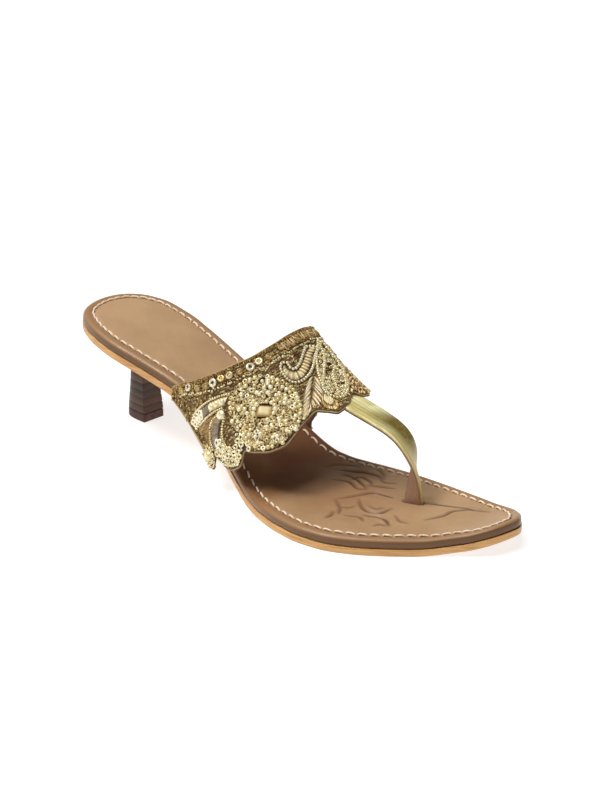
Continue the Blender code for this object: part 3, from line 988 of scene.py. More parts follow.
@dataclass(frozen=True)
class LinedGlass:
    """Clear glass beads with a gilt lining: bright rim, a hole darkened with painted shade, a hard highlight.
    """

    name: str
    deep: Colour
    mid: Colour
    bright: Colour
    metal: float = 0.25
    rough: float = 0.16
    coat: float = 0.8
    # The painted shade's colour in holes, at bead joints and under round beads.
    hole: Colour = tone(92, 68, 32)

    def make(self) -> Material:
        """The finish, reading tint and the hole's shade from the vertices."""
        g = Graph(self.name)
        tint = g.stored("tint")
        base = g.fade(self.deep, self.mid, tint, 0.0, 0.55)
        base = g.fade(base, self.bright, tint, 0.55, 1.0)
        base = g.fade(base, self.deep, g.noise(0.9 * MM, 2.0), 0.4, 0.7, 0.35)
        # Painted shade from the motif, in the hole colour.
        base = g.mix(g.stored("shade"), base, self.hole)
        shine = {"Metallic": self.metal, "Coat_Weight": self.coat, "Coat_Roughness": 0.08}
        return g.surface(base, self.rough, **shine)


@dataclass(frozen=True)
class CottonThread:
    """Waxed cotton sewing thread in two twisted plies."""

    name: str = "cotton_thread"
    colour: Colour = tone(250, 230, 202)
    soil_and_shade: Colour = tone(214, 182, 146)

    def make(self) -> Material:
        """The finish."""
        g = Graph(self.name)
        base = g.fade(self.colour, self.soil_and_shade, g.noise(4 * MM), 0.45, 0.8)
        # Painted shade where each stitch goes down into the leather, in the soiled tone.
        base = g.mix(g.stored("shade"), base, self.soil_and_shade)
        return g.surface(base, 0.6, g.bump(g.noise(0.3 * MM, 3.0, 0.6), 0.06 * MM), Sheen_Weight=0.2)


@dataclass(frozen=True)
class StudioPaper:
    """Seamless white paper under the shoe, with a barely seen tooth."""

    name: str = "studio_paper"
    colour: Colour = (0.48, 0.48, 0.48, 1.0)
    tooth: Colour = (0.45, 0.45, 0.45, 1.0)
    white: Colour = (1.0, 1.0, 1.0, 1.0)
    glow: float = 0.74

    def make(self) -> Material:
        """The finish."""
        g = Graph(self.name)
        tooth = g.noise(2 * MM)
        base = g.fade(self.colour, self.tooth, tooth, 0.3, 0.7)
        glow = {"Emission_Color": self.white, "Emission_Strength": self.glow}
        return g.surface(base, 0.9, g.bump(tooth, 0.02 * MM), Specular_IOR_Level=0.1, **glow)


def dress(piece: Piece, finish: Material, slot: str, *nodes: str) -> None:
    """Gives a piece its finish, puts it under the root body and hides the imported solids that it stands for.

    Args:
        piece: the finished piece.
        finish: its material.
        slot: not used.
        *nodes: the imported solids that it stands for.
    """
    piece.data.materials.clear()
    piece.data.materials.append(finish)
    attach(piece, "root")
    if nodes:
        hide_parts(*nodes)
    triangles = sum(len(face.vertices) - 2 for face in piece.data.polygons)
    LOG.info("%-26s %7d triangles", piece.name, triangles)


# ---------------------------------------------------------------- the sole
@dataclass
class Plan:
    """The sole from above: its outline, and straight ways in from it to a middle line."""

    last: Last
    heel_reach: float = 26.0 * MM
    toe_reach: float = 14.0 * MM
    most_lean: float = 0.72
    samples: int = 3000

    def __post_init__(self) -> None:
        """Lays out the outline once, from the back of the heel by the lateral side."""
        turn = np.linspace(0.0, 2 * math.pi, self.samples, endpoint=False)
        x = (1.0 - np.cos(turn)) / 2.0 * self.last.length
        lateral, medial = self.last.half_breadths(x)
        self.outline = np.stack((x, np.where(turn < math.pi, -lateral, medial)), -1)
        self.reach = travelled(np.vstack((self.outline, self.outline[:1])))
        self.girth = self.reach[-1]
        middle = self.middle(x)
        depth = np.linalg.norm(middle - self.outline, axis=1)
        way = (middle - self.outline) / depth[:, None]
        tangent = unit(np.roll(self.outline, -3, axis=0) - np.roll(self.outline, 3, axis=0))
        straight = -tangent[:, 1] * way[:, 0] + tangent[:, 0] * way[:, 1]
        lean = np.clip(straight, self.most_lean, 1.0)
        ring = np.column_stack((self.outline, way, middle, depth, lean))
        self.ring = np.vstack((ring, ring[:1])).T

    def middle(self, x: Array) -> Array:
        """The middle line's point that the outline at x looks towards."""
        heel, toe = self.heel_reach, self.toe_reach
        near = np.clip(2 * heel - x, 0.0, None) ** 2 / (4 * heel)
        far = np.clip(2 * toe - self.last.length + x, 0.0, None) ** 2 / (4 * toe)
        x = x + near - far
        lateral, medial = self.last.half_breadths(x)
        return np.stack((x, (medial - lateral) / 2.0), -1)

    def at(self, t: Array, inset: Array, inward: Array | float = 0.0) -> Array:
        """Points of the plan.

        Args:
            t: shares of the way round the outline.
            inset: how far in from it.
            inward: shares of what is left from there to the middle line.

        Returns:
            The points, seen from above.
        """
        round_at = np.mod(t, 1.0) * self.girth
        ring = [np.interp(round_at, self.reach, column) for column in self.ring]
        outline, way, middle = (np.stack(ring[k : k + 2], -1) for k in (0, 2, 4))
        depth, lean = ring[6:]
        start = outline + way * np.minimum(inset / lean, 0.96 * depth)[:, None]
        return start + (middle - start) * np.asarray(inward)[..., None]

    def slab(self, name: str, columns: int, rows: Line, base: Callable[[Array], Array]) -> Piece:
        """Adds a slab that follows the outline.

        Args:
            name: the piece's name.
            columns: how many faces round it.
            rows: its section, as rows of inset, height and share of the way inwards.
            base: gives the height that it stands on at x.

        Returns:
            The closed slab.
        """
        section = np.array(rows)

        def shape(u: Array, row: Array) -> Array:
            """One vertex of the slab."""
            inset, height, inward = section[row].T
            x, y = self.at(u, inset, inward).T
            return self.last.placed(x, y, base(x) + height * self.last.lean(x))

        return sheet(name, columns, len(rows) - 1, shape, closed=True)


@dataclass
class Outsole:
    """The leather outsole, with its trimmed edge and gently worn underside."""

    plan: Plan
    columns: int = 300
    inner_rows: int = 14
    edge_round: float = 0.45 * MM
    margin: float = 4 * MM

    def build(self) -> Piece:
        """Builds the outsole."""
        last, edge, margin = self.plan.last, self.edge_round, self.margin
        thick = last.outsole_thickness
        rim = [(margin, thick), (0.5 * edge, thick), (0.1 * edge, thick - 0.3 * edge)]
        rim += [(0.0, 0.75 * thick), (0.05 * edge, 0.5 * thick), (0.0, 0.28 * thick)]
        rim += [(0.35 * edge, 0.35 * edge), (1.1 * edge, 0.0), (margin, 0.0)]
        rows = [(margin, thick, share) for share in (1.0, 0.5)] + [(*row, 0.0) for row in rim]
        rows += [(margin, 0.0, k / self.inner_rows) for k in range(1, self.inner_rows + 1)]
        piece = self.plan.slab("outsole_leather_sole", self.columns, rows, last.underside)
        points = last.own(points_of(piece))
        above = (points[:, 2] - last.underside(points[:, 0])) / thick
        mark(piece, below=np.clip(1.0 - above * 6.0, 0.0, 1.0))
        return soften(piece, 50.0)


@dataclass
class Footbed:
    """The covered insole: rolled rim, sunken stitch channel, padded top and tooled leaves."""

    plan: Plan
    columns: int = 880
    inner_rows: int = 54
    margin: float = 5 * MM
    own_inset: float = 0.3 * MM
    roll: float = 2.2 * MM
    seam_inset: float = 5.3 * MM
    seam_half: float = 0.65 * MM
    channel_depth: float = 0.55 * MM
    tool_depth: float = 0.7 * MM
    tool_width: float = 0.95 * MM
    slot_at: tuple[float, float] = (198.7 * MM, -0.3 * MM)
    slot_turn: float = math.radians(200.0)
    slot_half_length: float = 4.9 * MM
    slot_half_width: float = 1.75 * MM
    slot_depth: float = 2.6 * MM
    pucker: float = 0.1 * MM
    # Where painted shade lies: from under the band's back to past its front, plus a painted shadow blob on
    # the lateral forepart.
    damp: tuple[float, float] = (96 * MM, 160 * MM)
    shade_blob_at: tuple[float, float] = (178 * MM, -20 * MM)
    shade_blob_reach: float = 32 * MM

    # The stitch channel's section: half widths from its middle and shares of its depth.
    CHANNEL = (
        (-2.1, 0.18), (-1.4, 0.5), (-0.7, 0.85), (0.0, 1.0), (0.7, 0.85), (1.4, 0.45), (2.2, 0.12),
    )
    # The tooled leaves on the forepart: each line's strength, then millimetres from the heel
    # and from the middle.
    TOOLED = (
        (0.7, ((150.5, 2.0), (157.5, 5.5), (161.5, 8.0), (168.0, 9.5), (173.5, 9.0))),
        (0.6, ((145.0, 0.0), (148.0, 7.0), (156.0, 11.5))),
        (0.8, ((156.5, 0.0), (163.0, 0.5), (169.0, -1.5), (175.0, -4.5))),
        (0.8, ((157.0, -7.0), (163.5, -4.0), (170.5, -6.5), (175.0, -5.5))),
        (0.6, ((163.0, -2.0), (164.0, 3.0), (169.5, 3.0), (174.0, 0.5))),
        (0.6, ((172.5, -1.5), (177.0, 1.5), (183.5, 4.5))),
        (1.0, ((173.0, -20.0), (176.5, -11.5), (179.5, -5.5), (183.5, -4.0), (189.0, -3.5))),
        (1.0, ((179.5, -15.0), (186.5, -20.5), (192.0, -21.5), (196.0, -19.0), (196.5, -12.5))),
        (0.5, ((187.5, -17.0), (191.5, -17.0), (193.5, -14.0))),
        (1.0, ((192.5, -25.5), (198.0, -23.0), (202.5, -23.0), (207.5, -26.5))),
        (0.6, ((186.0, -31.5), (191.5, -28.5), (196.0, -30.5))),
        (0.5, ((202.5, -31.0), (203.5, -28.0), (206.5, -27.5))),
        (0.7, ((181.5, -39.0), (181.5, -35.5), (179.5, -32.0))),
        (0.4, ((202.0, -16.5), (207.5, -19.5), (211.5, -19.0))),
        (0.5, ((183.0, -21.5), (181.5, -25.0), (177.5, -26.5))),
        (0.5, ((171.5, 8.0), (176.0, 6.5), (180.5, 9.0))),
        (0.5, ((162.0, 15.0), (166.5, 14.0), (172.0, 11.0))),
        (0.7, ((202.5, 2.0), (211.0, 6.0), (220.5, 10.5), (231.0, 13.5))),
        (0.6, ((215.0, -11.0), (218.0, -2.5), (218.5, 5.0), (226.0, 13.5))),
        (0.6, ((172.0, -22.0), (179.5, -27.5), (183.0, -32.5))),
    )

    def section(self) -> Line:
        """The slab's section, from the middle below, round the rolled rim, to the middle above."""
        own, roll, seam, half = self.own_inset, self.roll, self.seam_inset, self.seam_half
        thick = self.plan.last.insole_thickness
        rim = [(self.margin, 0.0), (own + 0.7 * MM, 0.0), (own + 0.2 * MM, 0.15 * MM)]
        rim += [(own, 0.8 * MM), (own, thick - roll - 0.1 * MM)]
        for turn in np.radians((12, 25, 38, 52, 66, 80)):
            rim.append((own + roll * (1.0 - math.cos(turn)), thick - roll * (1.0 - math.sin(turn))))
        rim += [(own + 2.6 * MM, thick + 0.04 * MM), (own + 3.3 * MM, thick)]
        rim += [(seam + place * half, thick - sink * self.channel_depth) for place, sink in self.CHANNEL]
        rim += [(seam + 3.2 * half, thick), (seam + 5.0 * half, thick + 0.04 * MM)]
        rows = [(self.margin, 0.0, k / 4) for k in (4, 3, 2, 1)] + [(*row, 0.0) for row in rim]
        top = (seam + 6.6 * half, thick + 0.05 * MM)
        return rows + [(*top, k / self.inner_rows) for k in range(self.inner_rows + 1)]

    def build(self) -> Piece:
        """Builds the covered insole and tools its top."""
        last = self.plan.last
        piece = self.plan.slab(
            "footbed_cover", self.columns, self.section(), lambda x: last.outsole_top(x) + last.gap
        )
        self.tool(piece)
        return soften(piece, 60.0)

    def tool(self, piece: Piece) -> None:
        """Presses the leaves and the slot into the top and marks rim, grooves and painted shade."""
        last = self.plan.last
        points = points_of(piece)
        own = last.own(points)
        x, y = own[:, 0], own[:, 1]
        drop = last.insole_top(x) - own[:, 2]
        top = drop < 0.9 * MM
        groove, press = self.pressed(own[:, :2])
        slot, pucker = self.slot(x, y)
        sink = press * self.tool_depth + slot * self.slot_depth + pucker * self.pucker
        points[:, 2] -= np.where(top, sink, 0.0)
        move_points(piece, points)
        # Painted shade: strongest under the band, fading at both ends and weaker on the lateral side, plus a
        # painted shadow blob on the lateral forepart.
        back, front = self.damp
        damp = smoothly((x - back) / (26 * MM)) * smoothly((front - x - 0.15 * y) / (26 * MM))
        damp = damp * (1.0 - 0.4 * smoothly((-y - 8 * MM) / (22 * MM)))
        spread = np.hypot(x - self.shade_blob_at[0], 1.2 * (y - self.shade_blob_at[1])) / self.shade_blob_reach
        side = np.clip(drop / last.insole_thickness, 0.0, 1.0)
        edge = nearest(self.plan.outline[::3], own[:, :2])
        rim = 0.42 * (1.0 - smoothly((edge - 4.6 * MM) / (0.8 * MM)))
        # The rim's side is darker, partly its burnished edge and partly painted shade that grows towards the
        # toe.
        wall = (0.62 + 0.3 * smoothly((x - 170 * MM) / (60 * MM))) * smoothly(side * 1.7)
        # The slot takes the groove colour: painted shade in its recess.
        mark(
            piece,
            groove=np.where(top, np.clip(groove + slot, 0.0, 1.0), 0.0),
            damp=np.maximum(damp, 0.42 * np.exp(-(spread**2))),
            rim=np.clip(rim + wall, 0.0, 1.0),
        )

    def slot(self, x: Array, y: Array) -> Pair:
        """How deep the post's slot is at each place, and how much the leather puckers round it."""
        ahead, aside = x - self.slot_at[0], y - self.slot_at[1]
        cos, sin = math.cos(self.slot_turn), math.sin(self.slot_turn)
        past = np.abs(ahead * cos + aside * sin) - self.slot_half_length + self.slot_half_width
        away = np.hypot(np.clip(past, 0.0, None), aside * cos - ahead * sin)
        slot = 1.0 - smoothly((away - 0.4 * self.slot_half_width) / self.slot_half_width)
        return slot, np.exp(-(((away - 3.2 * MM) / (1.6 * MM)) ** 2))

    def pressed(self, places: Array) -> Pair:
        """How dark and how deep the tooled lines are at each place."""
        groove, press = np.zeros(len(places)), np.zeros(len(places))
        near = (places[:, 0] > 130 * MM) & (places[:, 0] < 240 * MM)
        for strength, line in self.TOOLED:
            path = flowing(np.array(line) * MM, 14)
            share = np.linspace(0.0, 1.0, len(path))
            gap = np.linalg.norm(places[near][:, None] - path[None], axis=-1)
            best = np.argmin(gap, axis=1)
            away = gap[np.arange(len(best)), best] / self.tool_width
            fade = strength * np.sin(np.pi * np.clip(share[best], 0.02, 0.98)) ** 0.5
            groove[near] = np.maximum(groove[near], np.exp(-(away**2)) * fade**0.5)
            press[near] += (np.exp(-(away**2)) - 0.4 * np.exp(-((away - 1.9) ** 2))) * fade
        return groove, np.clip(press, -0.6, 1.2)


@dataclass
class RimStitching:
    """The cream running stitch in the footbed's channel, each stitch laid a little aslant."""

    plan: Plan
    inset: float = 5.3 * MM
    pitch: float = 5.0 * MM
    length: float = 4.1 * MM
    slant: float = 9.0
    sunk: float = 0.32 * MM
    seed: int = 5

    # One stitch's middle line: it comes up, lies along the leather and goes down hooked.
    STITCH = (
        (-0.50, 0.0, -0.14), (-0.46, 0.0, 0.02), (-0.30, 0.0, 0.11), (0.0, 0.0, 0.13),
        (0.30, 0.01, 0.10), (0.45, 0.05, 0.0), (0.49, 0.10, -0.14),
    )

    def build(self) -> Piece:
        """Builds all the stitches as one piece."""
        last = self.plan.last
        stitch = motif_from(
            cord("stitch", flowing(self.STITCH, 2), 0.11),
            # shade: painted shade where the stitch goes down into the leather
            lambda points: np.clip(-points[:, 2] * 5.0, 0.0, 1.0),
        )
        count = int(round(self.plan.girth * 0.96 / self.pitch))
        draw = np.random.default_rng(self.seed)
        t, step = (np.arange(count) + 0.5) / count, 0.4 / count
        x, y = self.plan.at(t, self.inset).T
        along = self.plan.at(t + step, self.inset) - self.plan.at(t - step, self.inset)
        rise = (last.insole_top(x + MM) - last.insole_top(x - MM)) / (2 * MM)
        normal = unit(np.stack((-rise, 0 * rise, 1 + 0 * rise), -1))
        flat = unit(np.stack((along[:, 0], along[:, 1], rise * along[:, 0]), -1))
        angle = np.radians(-self.slant + draw.normal(0.0, 1.5, count))[:, None]
        ahead = square_to(flat * np.cos(angle) + np.cross(normal, flat) * np.sin(angle), normal)
        size = np.full((count, 3), self.length)
        size[:, 0] *= draw.uniform(0.95, 1.04, count)
        centre = last.placed(x, y, last.insole_top(x) - self.sunk)
        copies = Copies(centre, ahead, normal, size, draw.uniform(0, 1, count))
        return copies.build("footbed_rim_stitches", stitch)


# ---------------------------------------------------------------- the heel
@dataclass
class Heel:
    """The stacked heel: lifts of dark leather, waisted, with the breast facing forward."""

    last: Last
    centre: tuple[float, float] = (28.7 * MM, -0.8 * MM)
    turn: float = math.radians(-3.0)
    depth: float = 15.2 * MM
    width: float = 12.2 * MM
    foot: float = 4.3 * MM
    lift: float = 3.7 * MM
    joint: float = 0.16 * MM
    columns: int = 120
    seed: int = 11

    # Half of the plan from the breast to the back, as shares of the depth and width.
    HALF_PLAN = (
        (0.500, 0.430), (0.495, 0.475), (0.465, 0.498), (0.30, 0.505), (0.10, 0.50),
        (-0.10, 0.475), (-0.26, 0.42), (-0.38, 0.33), (-0.46, 0.19), (-0.485, 0.05),
    )
    WAIST = Table(
        "up spread",
        (0.00, 1.00), (0.12, 0.955), (0.28, 0.885), (0.45, 0.83), (0.62, 0.80),
        (0.78, 0.80), (0.90, 0.83), (1.00, 0.92),
    )
    # A lift's rows: how far up it each lies, and how far it sinks into the joint.
    LIFT_ROWS = ((0.02, 1.0), (0.10, 0.1), (0.5, 0.0), (0.90, 0.1), (0.98, 1.0))

    def __post_init__(self) -> None:
        """Lays out the heel's plan once, in shares, evenly round it."""
        loop = self.HALF_PLAN + tuple((u, -v) for u, v in reversed(self.HALF_PLAN))
        places, _ = spaced(flowing(loop, 8, closed=True), 1.0 / 400, closed=True)
        self.outline = places[np.linspace(0, len(places), self.columns, endpoint=False).astype(int)]
        self.size = np.array((self.depth, self.width))

    def place(self, u: Array, grow: Array) -> Pair:
        """Round the plan at u, grown to rows of depth and width.

        Args:
            u: where round the plan.
            grow: depth and width, in rows.

        Returns:
            x and y from the back of the shoe and from its middle.
        """
        ring = self.outline[np.round(u * self.columns).astype(int) % self.columns]
        forward, side = (ring * grow).T
        cos, sin = math.cos(self.turn), math.sin(self.turn)
        x = self.centre[0] + forward * cos - side * sin
        return x, self.centre[1] + forward * sin + side * cos

    def ceiling(self, x: Array) -> Array:
        """The heel's upper limit at x, a glue line below the outsole."""
        return self.last.underside(x) - self.last.gap

    def build(self) -> Piece:
        """Builds the stack of lifts, cut to the seat above."""
        highest = float(self.last.underside(0.05 * self.last.length))
        lifts = int(math.ceil((highest - self.foot) / self.lift))
        levels, sinks = np.array([
            (self.foot + (k + up) * self.lift, sink) for k in range(lifts) for up, sink in self.LIFT_ROWS
        ]).T
        levels[0], sinks[0] = self.foot, 0.5
        rows = len(levels) + 1
        tints = np.random.default_rng(self.seed).permutation(lifts) / max(lifts - 1, 1)

        def shape(u: Array, row: Array) -> Array:
            """One vertex of the stack."""
            open_row = ((row > 0) & (row < rows))[:, None]
            i = np.clip(row - 1, 0, len(levels) - 1)
            level, spread = levels[i], np.full(len(u), 0.85)
            for _ in range(4):
                x, _ = self.place(u, self.size * spread[:, None])
                up = (level - self.foot) / (self.ceiling(x) - self.foot)
                spread = self.WAIST.read("spread", np.clip(up, 0.0, 1.0))
            inner = 2 * self.joint * sinks[i] * (level < self.ceiling(x))
            x, y = self.place(u, (self.size * spread[:, None] - inner[:, None]) * open_row)
            return self.last.placed(x, y, np.minimum(level, self.ceiling(x)))

        piece = sheet("heel_stack", self.columns, rows, shape, closed=True)
        height = self.last.own(points_of(piece))[:, 2]
        lift = np.clip((height - self.foot) / self.lift, 0.0, lifts - 0.01)
        part = lift - np.floor(lift)
        joint = np.clip(1.0 - np.minimum(part, 1.0 - part) * 14.0, 0.0, 1.0) * 0.8
        mark(piece, tint=tints[np.floor(lift).astype(int)], joint=joint)
        return soften(piece, 45.0)


@dataclass
class TopPiece:
    """The rubber top piece under the heel, with its edges just broken."""

    heel: Heel
    height: float = 4.0 * MM
    edge: float = 0.35 * MM

    def build(self) -> Piece:
        """Builds the top piece."""
        heel, top = self.heel, self.height / self.edge
        # Each row: how far out it is, below 0 as a share of the plan and above 0 in edge
        # widths, and how many edge widths up it is.
        rows = [(-1.0, 0.0), (-0.6, 0.0), (-0.3, 0.0), (0.0, 0.0), (0.6, 0.1), (1.0, 0.5)]
        rows += [(1.0, 1.0), (1.0, top - 1.0), (0.6, top - 0.3), (0.0, top), (-0.5, top), (-1.0, top)]
        table = np.array(rows)

        def shape(u: Array, row: Array) -> Array:
            """One vertex of the top piece."""
            out, up = table[row].T
            trim = np.where(out < 0.0, 0.0, 2 * self.edge * (out - 1.0))
            grow = (heel.size + trim[:, None]) * (1.0 + np.minimum(out, 0.0))[:, None]
            return heel.last.placed(*heel.place(u, grow), up * self.edge)

        piece = sheet("heel_top_piece_rubber", heel.columns, len(rows) - 1, shape, closed=True)
        return soften(piece, 40.0)


# ---------------------------------------------------------------- the band
@dataclass
class Band:
    """The broad band over the foot: outer cloth, brown lining, rolled edges and hem bindings."""

    last: Last
    wall: float = 2.0 * MM
    skin: float = 0.1 * MM
    cloth: float = 0.9 * MM
    lining: float = 0.8 * MM
    lining_room: float = 0.08 * MM
    edge_room: float = 0.45 * MM
    cord_room: float = 0.25 * MM
    cord_radius: float = 0.36 * MM
    cord_lift: float = 1.5 * MM
    piping_radius: float = 0.3 * MM
    piping_lift: float = 1.35 * MM
    turned_radius: float = 0.52 * MM
    turned_lift: float = 0.85 * MM
    binding: float = 0.35 * MM
    columns: int = 200
    rows: int = 30
    hem_columns: int = 90
    hem_rows: int = 16
    cord_steps: int = 320
    low: float = -0.058
    high: float = 1.058

    def at(self, around: Array, share: Array, lift: float | Array, room: float = 0.0) -> Array:
        """Points on the band.

        Args:
            around: where round the foot.
            share: 0 at the back edge, 1 at the front edge.
            lift: how far above the inner face.
            room: how far to stay back from both edges.

        Returns:
            The points.
        """
        back, front = self.last.edges(around)
        x = back + room + (front - back - 2 * room) * share
        return self.last.over(x, around) + lift * self.last.outward(x, around)

    def leaf(self, name: str, lift: float, thick: float) -> Piece:
        """One layer of the band, thickened inwards from its outer side."""

        def shape(u: Array, row: Array) -> Array:
            """One vertex of the layer."""
            around = self.low + (self.high - self.low) * u
            return self.at(around, row / self.rows, lift, self.edge_room)

        piece = sheet(name, self.columns, self.rows, shape)
        thicken(piece, thick, turn_over=True)
        return soften(piece, 50.0)

    def edge(self, name: str, share: float, lift: float, radius: float) -> Piece:
        """A cord along one long edge: share 0 for the back one, 1 for the front one."""
        around = np.linspace(self.low, self.high, self.cord_steps)
        path = self.at(around, np.full(self.cord_steps, share), lift, self.cord_room)
        return cord(name, path, radius)

    def hem(self, name: str, start: float, end: float, turn_over: bool) -> Piece:
        """A smooth binding folded over one of the band's lower hems."""
        middle, outer, inner = 1.0 * MM, self.wall + self.binding, -0.1 * MM

        def shape(u: Array, row: Array) -> Array:
            """One vertex of the folded strip, out over the hem and back inside."""
            fold = np.abs(2.0 * row / self.hem_rows - 1.0)
            bulge = np.sqrt(np.clip(fold * (2.0 - fold), 0.0, 1.0))
            side = np.where(row < self.hem_rows / 2, outer, inner)
            lift = middle + (side - middle) * bulge
            return self.at(start + (end - start) * (1.0 - fold), 0.002 + 0.996 * u, lift[:, None])

        piece = sheet(name, self.hem_columns, self.hem_rows, shape)
        thicken(piece, self.binding, turn_over)
        return soften(piece, 60.0)

    def build_cloth(self) -> Piece:
        """The outer cloth that carries the embroidery."""
        return self.leaf("band_ground_cloth", self.wall - self.skin, self.cloth)

    def build_lining(self) -> Piece:
        """The lining on the foot's side."""
        return self.leaf("band_lining", self.lining + self.lining_room, self.lining)

    def build_back_cord(self) -> Piece:
        """The rolled cord along the back edge."""
        return self.edge("band_back_cord", 0.0, self.cord_lift, self.cord_radius)

    def build_front_piping(self) -> Piece:
        """The thin piping along the scalloped front edge."""
        return self.edge("band_front_piping", 1.0, self.piping_lift, self.piping_radius)

    def build_turned_edges(self) -> list[Piece]:
        """The turned leather between cloth and lining along both long edges."""
        sides = (("band_back_turned_edge", 0.0), ("band_front_turned_edge", 1.0))
        return [self.edge(*side, self.turned_lift, self.turned_radius) for side in sides]

    def build_hems(self) -> list[Piece]:
        """The bindings of both hems."""
        lateral = self.hem("band_lateral_hem", -0.049, -0.060, turn_over=True)
        return [lateral, self.hem("band_medial_hem", 1.049, 1.060, turn_over=False)]


# ---------------------------------------------------------------- the thong
@dataclass
class Thong:
    """The gold strap from the band to between the toes, with its lining showing on the fin."""

    last: Last
    width: float = 14.0 * MM
    post_width: float = 8.5 * MM
    twist: float = math.radians(110.0)
    gold: tuple[float, float] = (-0.35 * MM, 1.2 * MM)
    gold_round: float = 0.75 * MM
    lining: tuple[float, float] = (-1.2 * MM, -0.42 * MM)
    lining_trim: float = 0.45 * MM
    lining_round: float = 0.3 * MM
    crown: float = 0.12 * MM
    stations: int = 110
    step: float = 0.05

    def middle(self, place: Array) -> Array:
        """The strap's middle line."""
        parts = (STRAP.by_row(name, place) * MM for name in ("along", "across", "height"))
        return self.last.placed(*parts)

    def frame(self, place: Array) -> tuple[Array, Array, Array]:
        """Half width, the direction across and the direction out of the face, at each place."""
        ahead = unit(self.middle(place + self.step) - self.middle(place - self.step))
        ahead[place > len(STRAP.at) - 1 - self.step] = (0.0, 0.0, -1.0)
        across = square_to(np.array((0.0, 1.0, 0.0)), ahead)
        turn = -STRAP.by_row("twist", place)[:, None] * self.twist
        wide = across * np.cos(turn) + np.cross(ahead, across) * np.sin(turn)
        half = 0.5 * (self.width + (self.post_width - self.width) * STRAP.by_row("taper", place))
        return half, wide, np.cross(ahead, wide)

    def layer(self, name: str, low: float, high: float, trim: float, round_by: float) -> Piece:
        """One layer of the strap.

        Args:
            name: the piece's name.
            low: where its lower face lies across the thickness.
            high: where its upper face lies.
            trim: how far its edges stay inside the strap's.
            round_by: how round its edges are.

        Returns:
            The closed layer.
        """
        half_thick, mid = (high - low) / 2.0, (high + low) / 2.0
        corner = min(round_by, half_thick)
        rows = []
        for side in (1, -1):
            turns = [math.radians(30 * k - 90 * side) for k in range(7)]
            rows += [(side, corner * math.cos(a), half_thick * math.sin(a)) for a in turns]
            rows += [(side * k, 0.0, side * half_thick) for k in (0.66, 0.33, 0.0, -0.33, -0.66)]
        table, last_row = np.array(rows), len(STRAP.at) - 1

        def shape(u: Array, row: Array) -> Array:
            """One vertex of the layer."""
            out_to, past, up = table[row % len(rows)].T
            i = np.round(u * self.stations)
            place = np.clip((i - 1) / (self.stations - 2), 0.0, 1.0) * last_row
            half, wide, out = self.frame(place)
            open_ring = (i > 0) & (i < self.stations)
            flat = (out_to * (half - trim - corner) + past) * open_ring
            up = up + np.where(up > 0, self.crown * (1.0 - out_to**2), 0.0)
            return self.middle(place) + flat[:, None] * wide + (mid + up * open_ring)[:, None] * out

        piece = sheet(name, self.stations, len(rows), shape, closed=True)
        places = np.linspace(0.0, last_row, 300)
        line = self.middle(places)
        half, wide, _ = self.frame(places)
        reach = travelled(line)
        points = points_of(piece)
        near = np.argmin(np.linalg.norm(points[:, None] - line[None], axis=-1), axis=1)
        across = np.sum((points - line[near]) * wide[near], axis=1) / half[near]
        mark(piece, along=reach[near] / reach[-1], across=across)
        return soften(piece, 60.0)

    def build_strap(self) -> Piece:
        """The gold upper layer with its turned edges."""
        return self.layer("thong_gold_strap", *self.gold, 0.0, self.gold_round)

    def build_lining(self) -> Piece:
        """The lining under the strap, which shows on the fin between the toes."""
        return self.layer("thong_lining", *self.lining, self.lining_trim, self.lining_round)


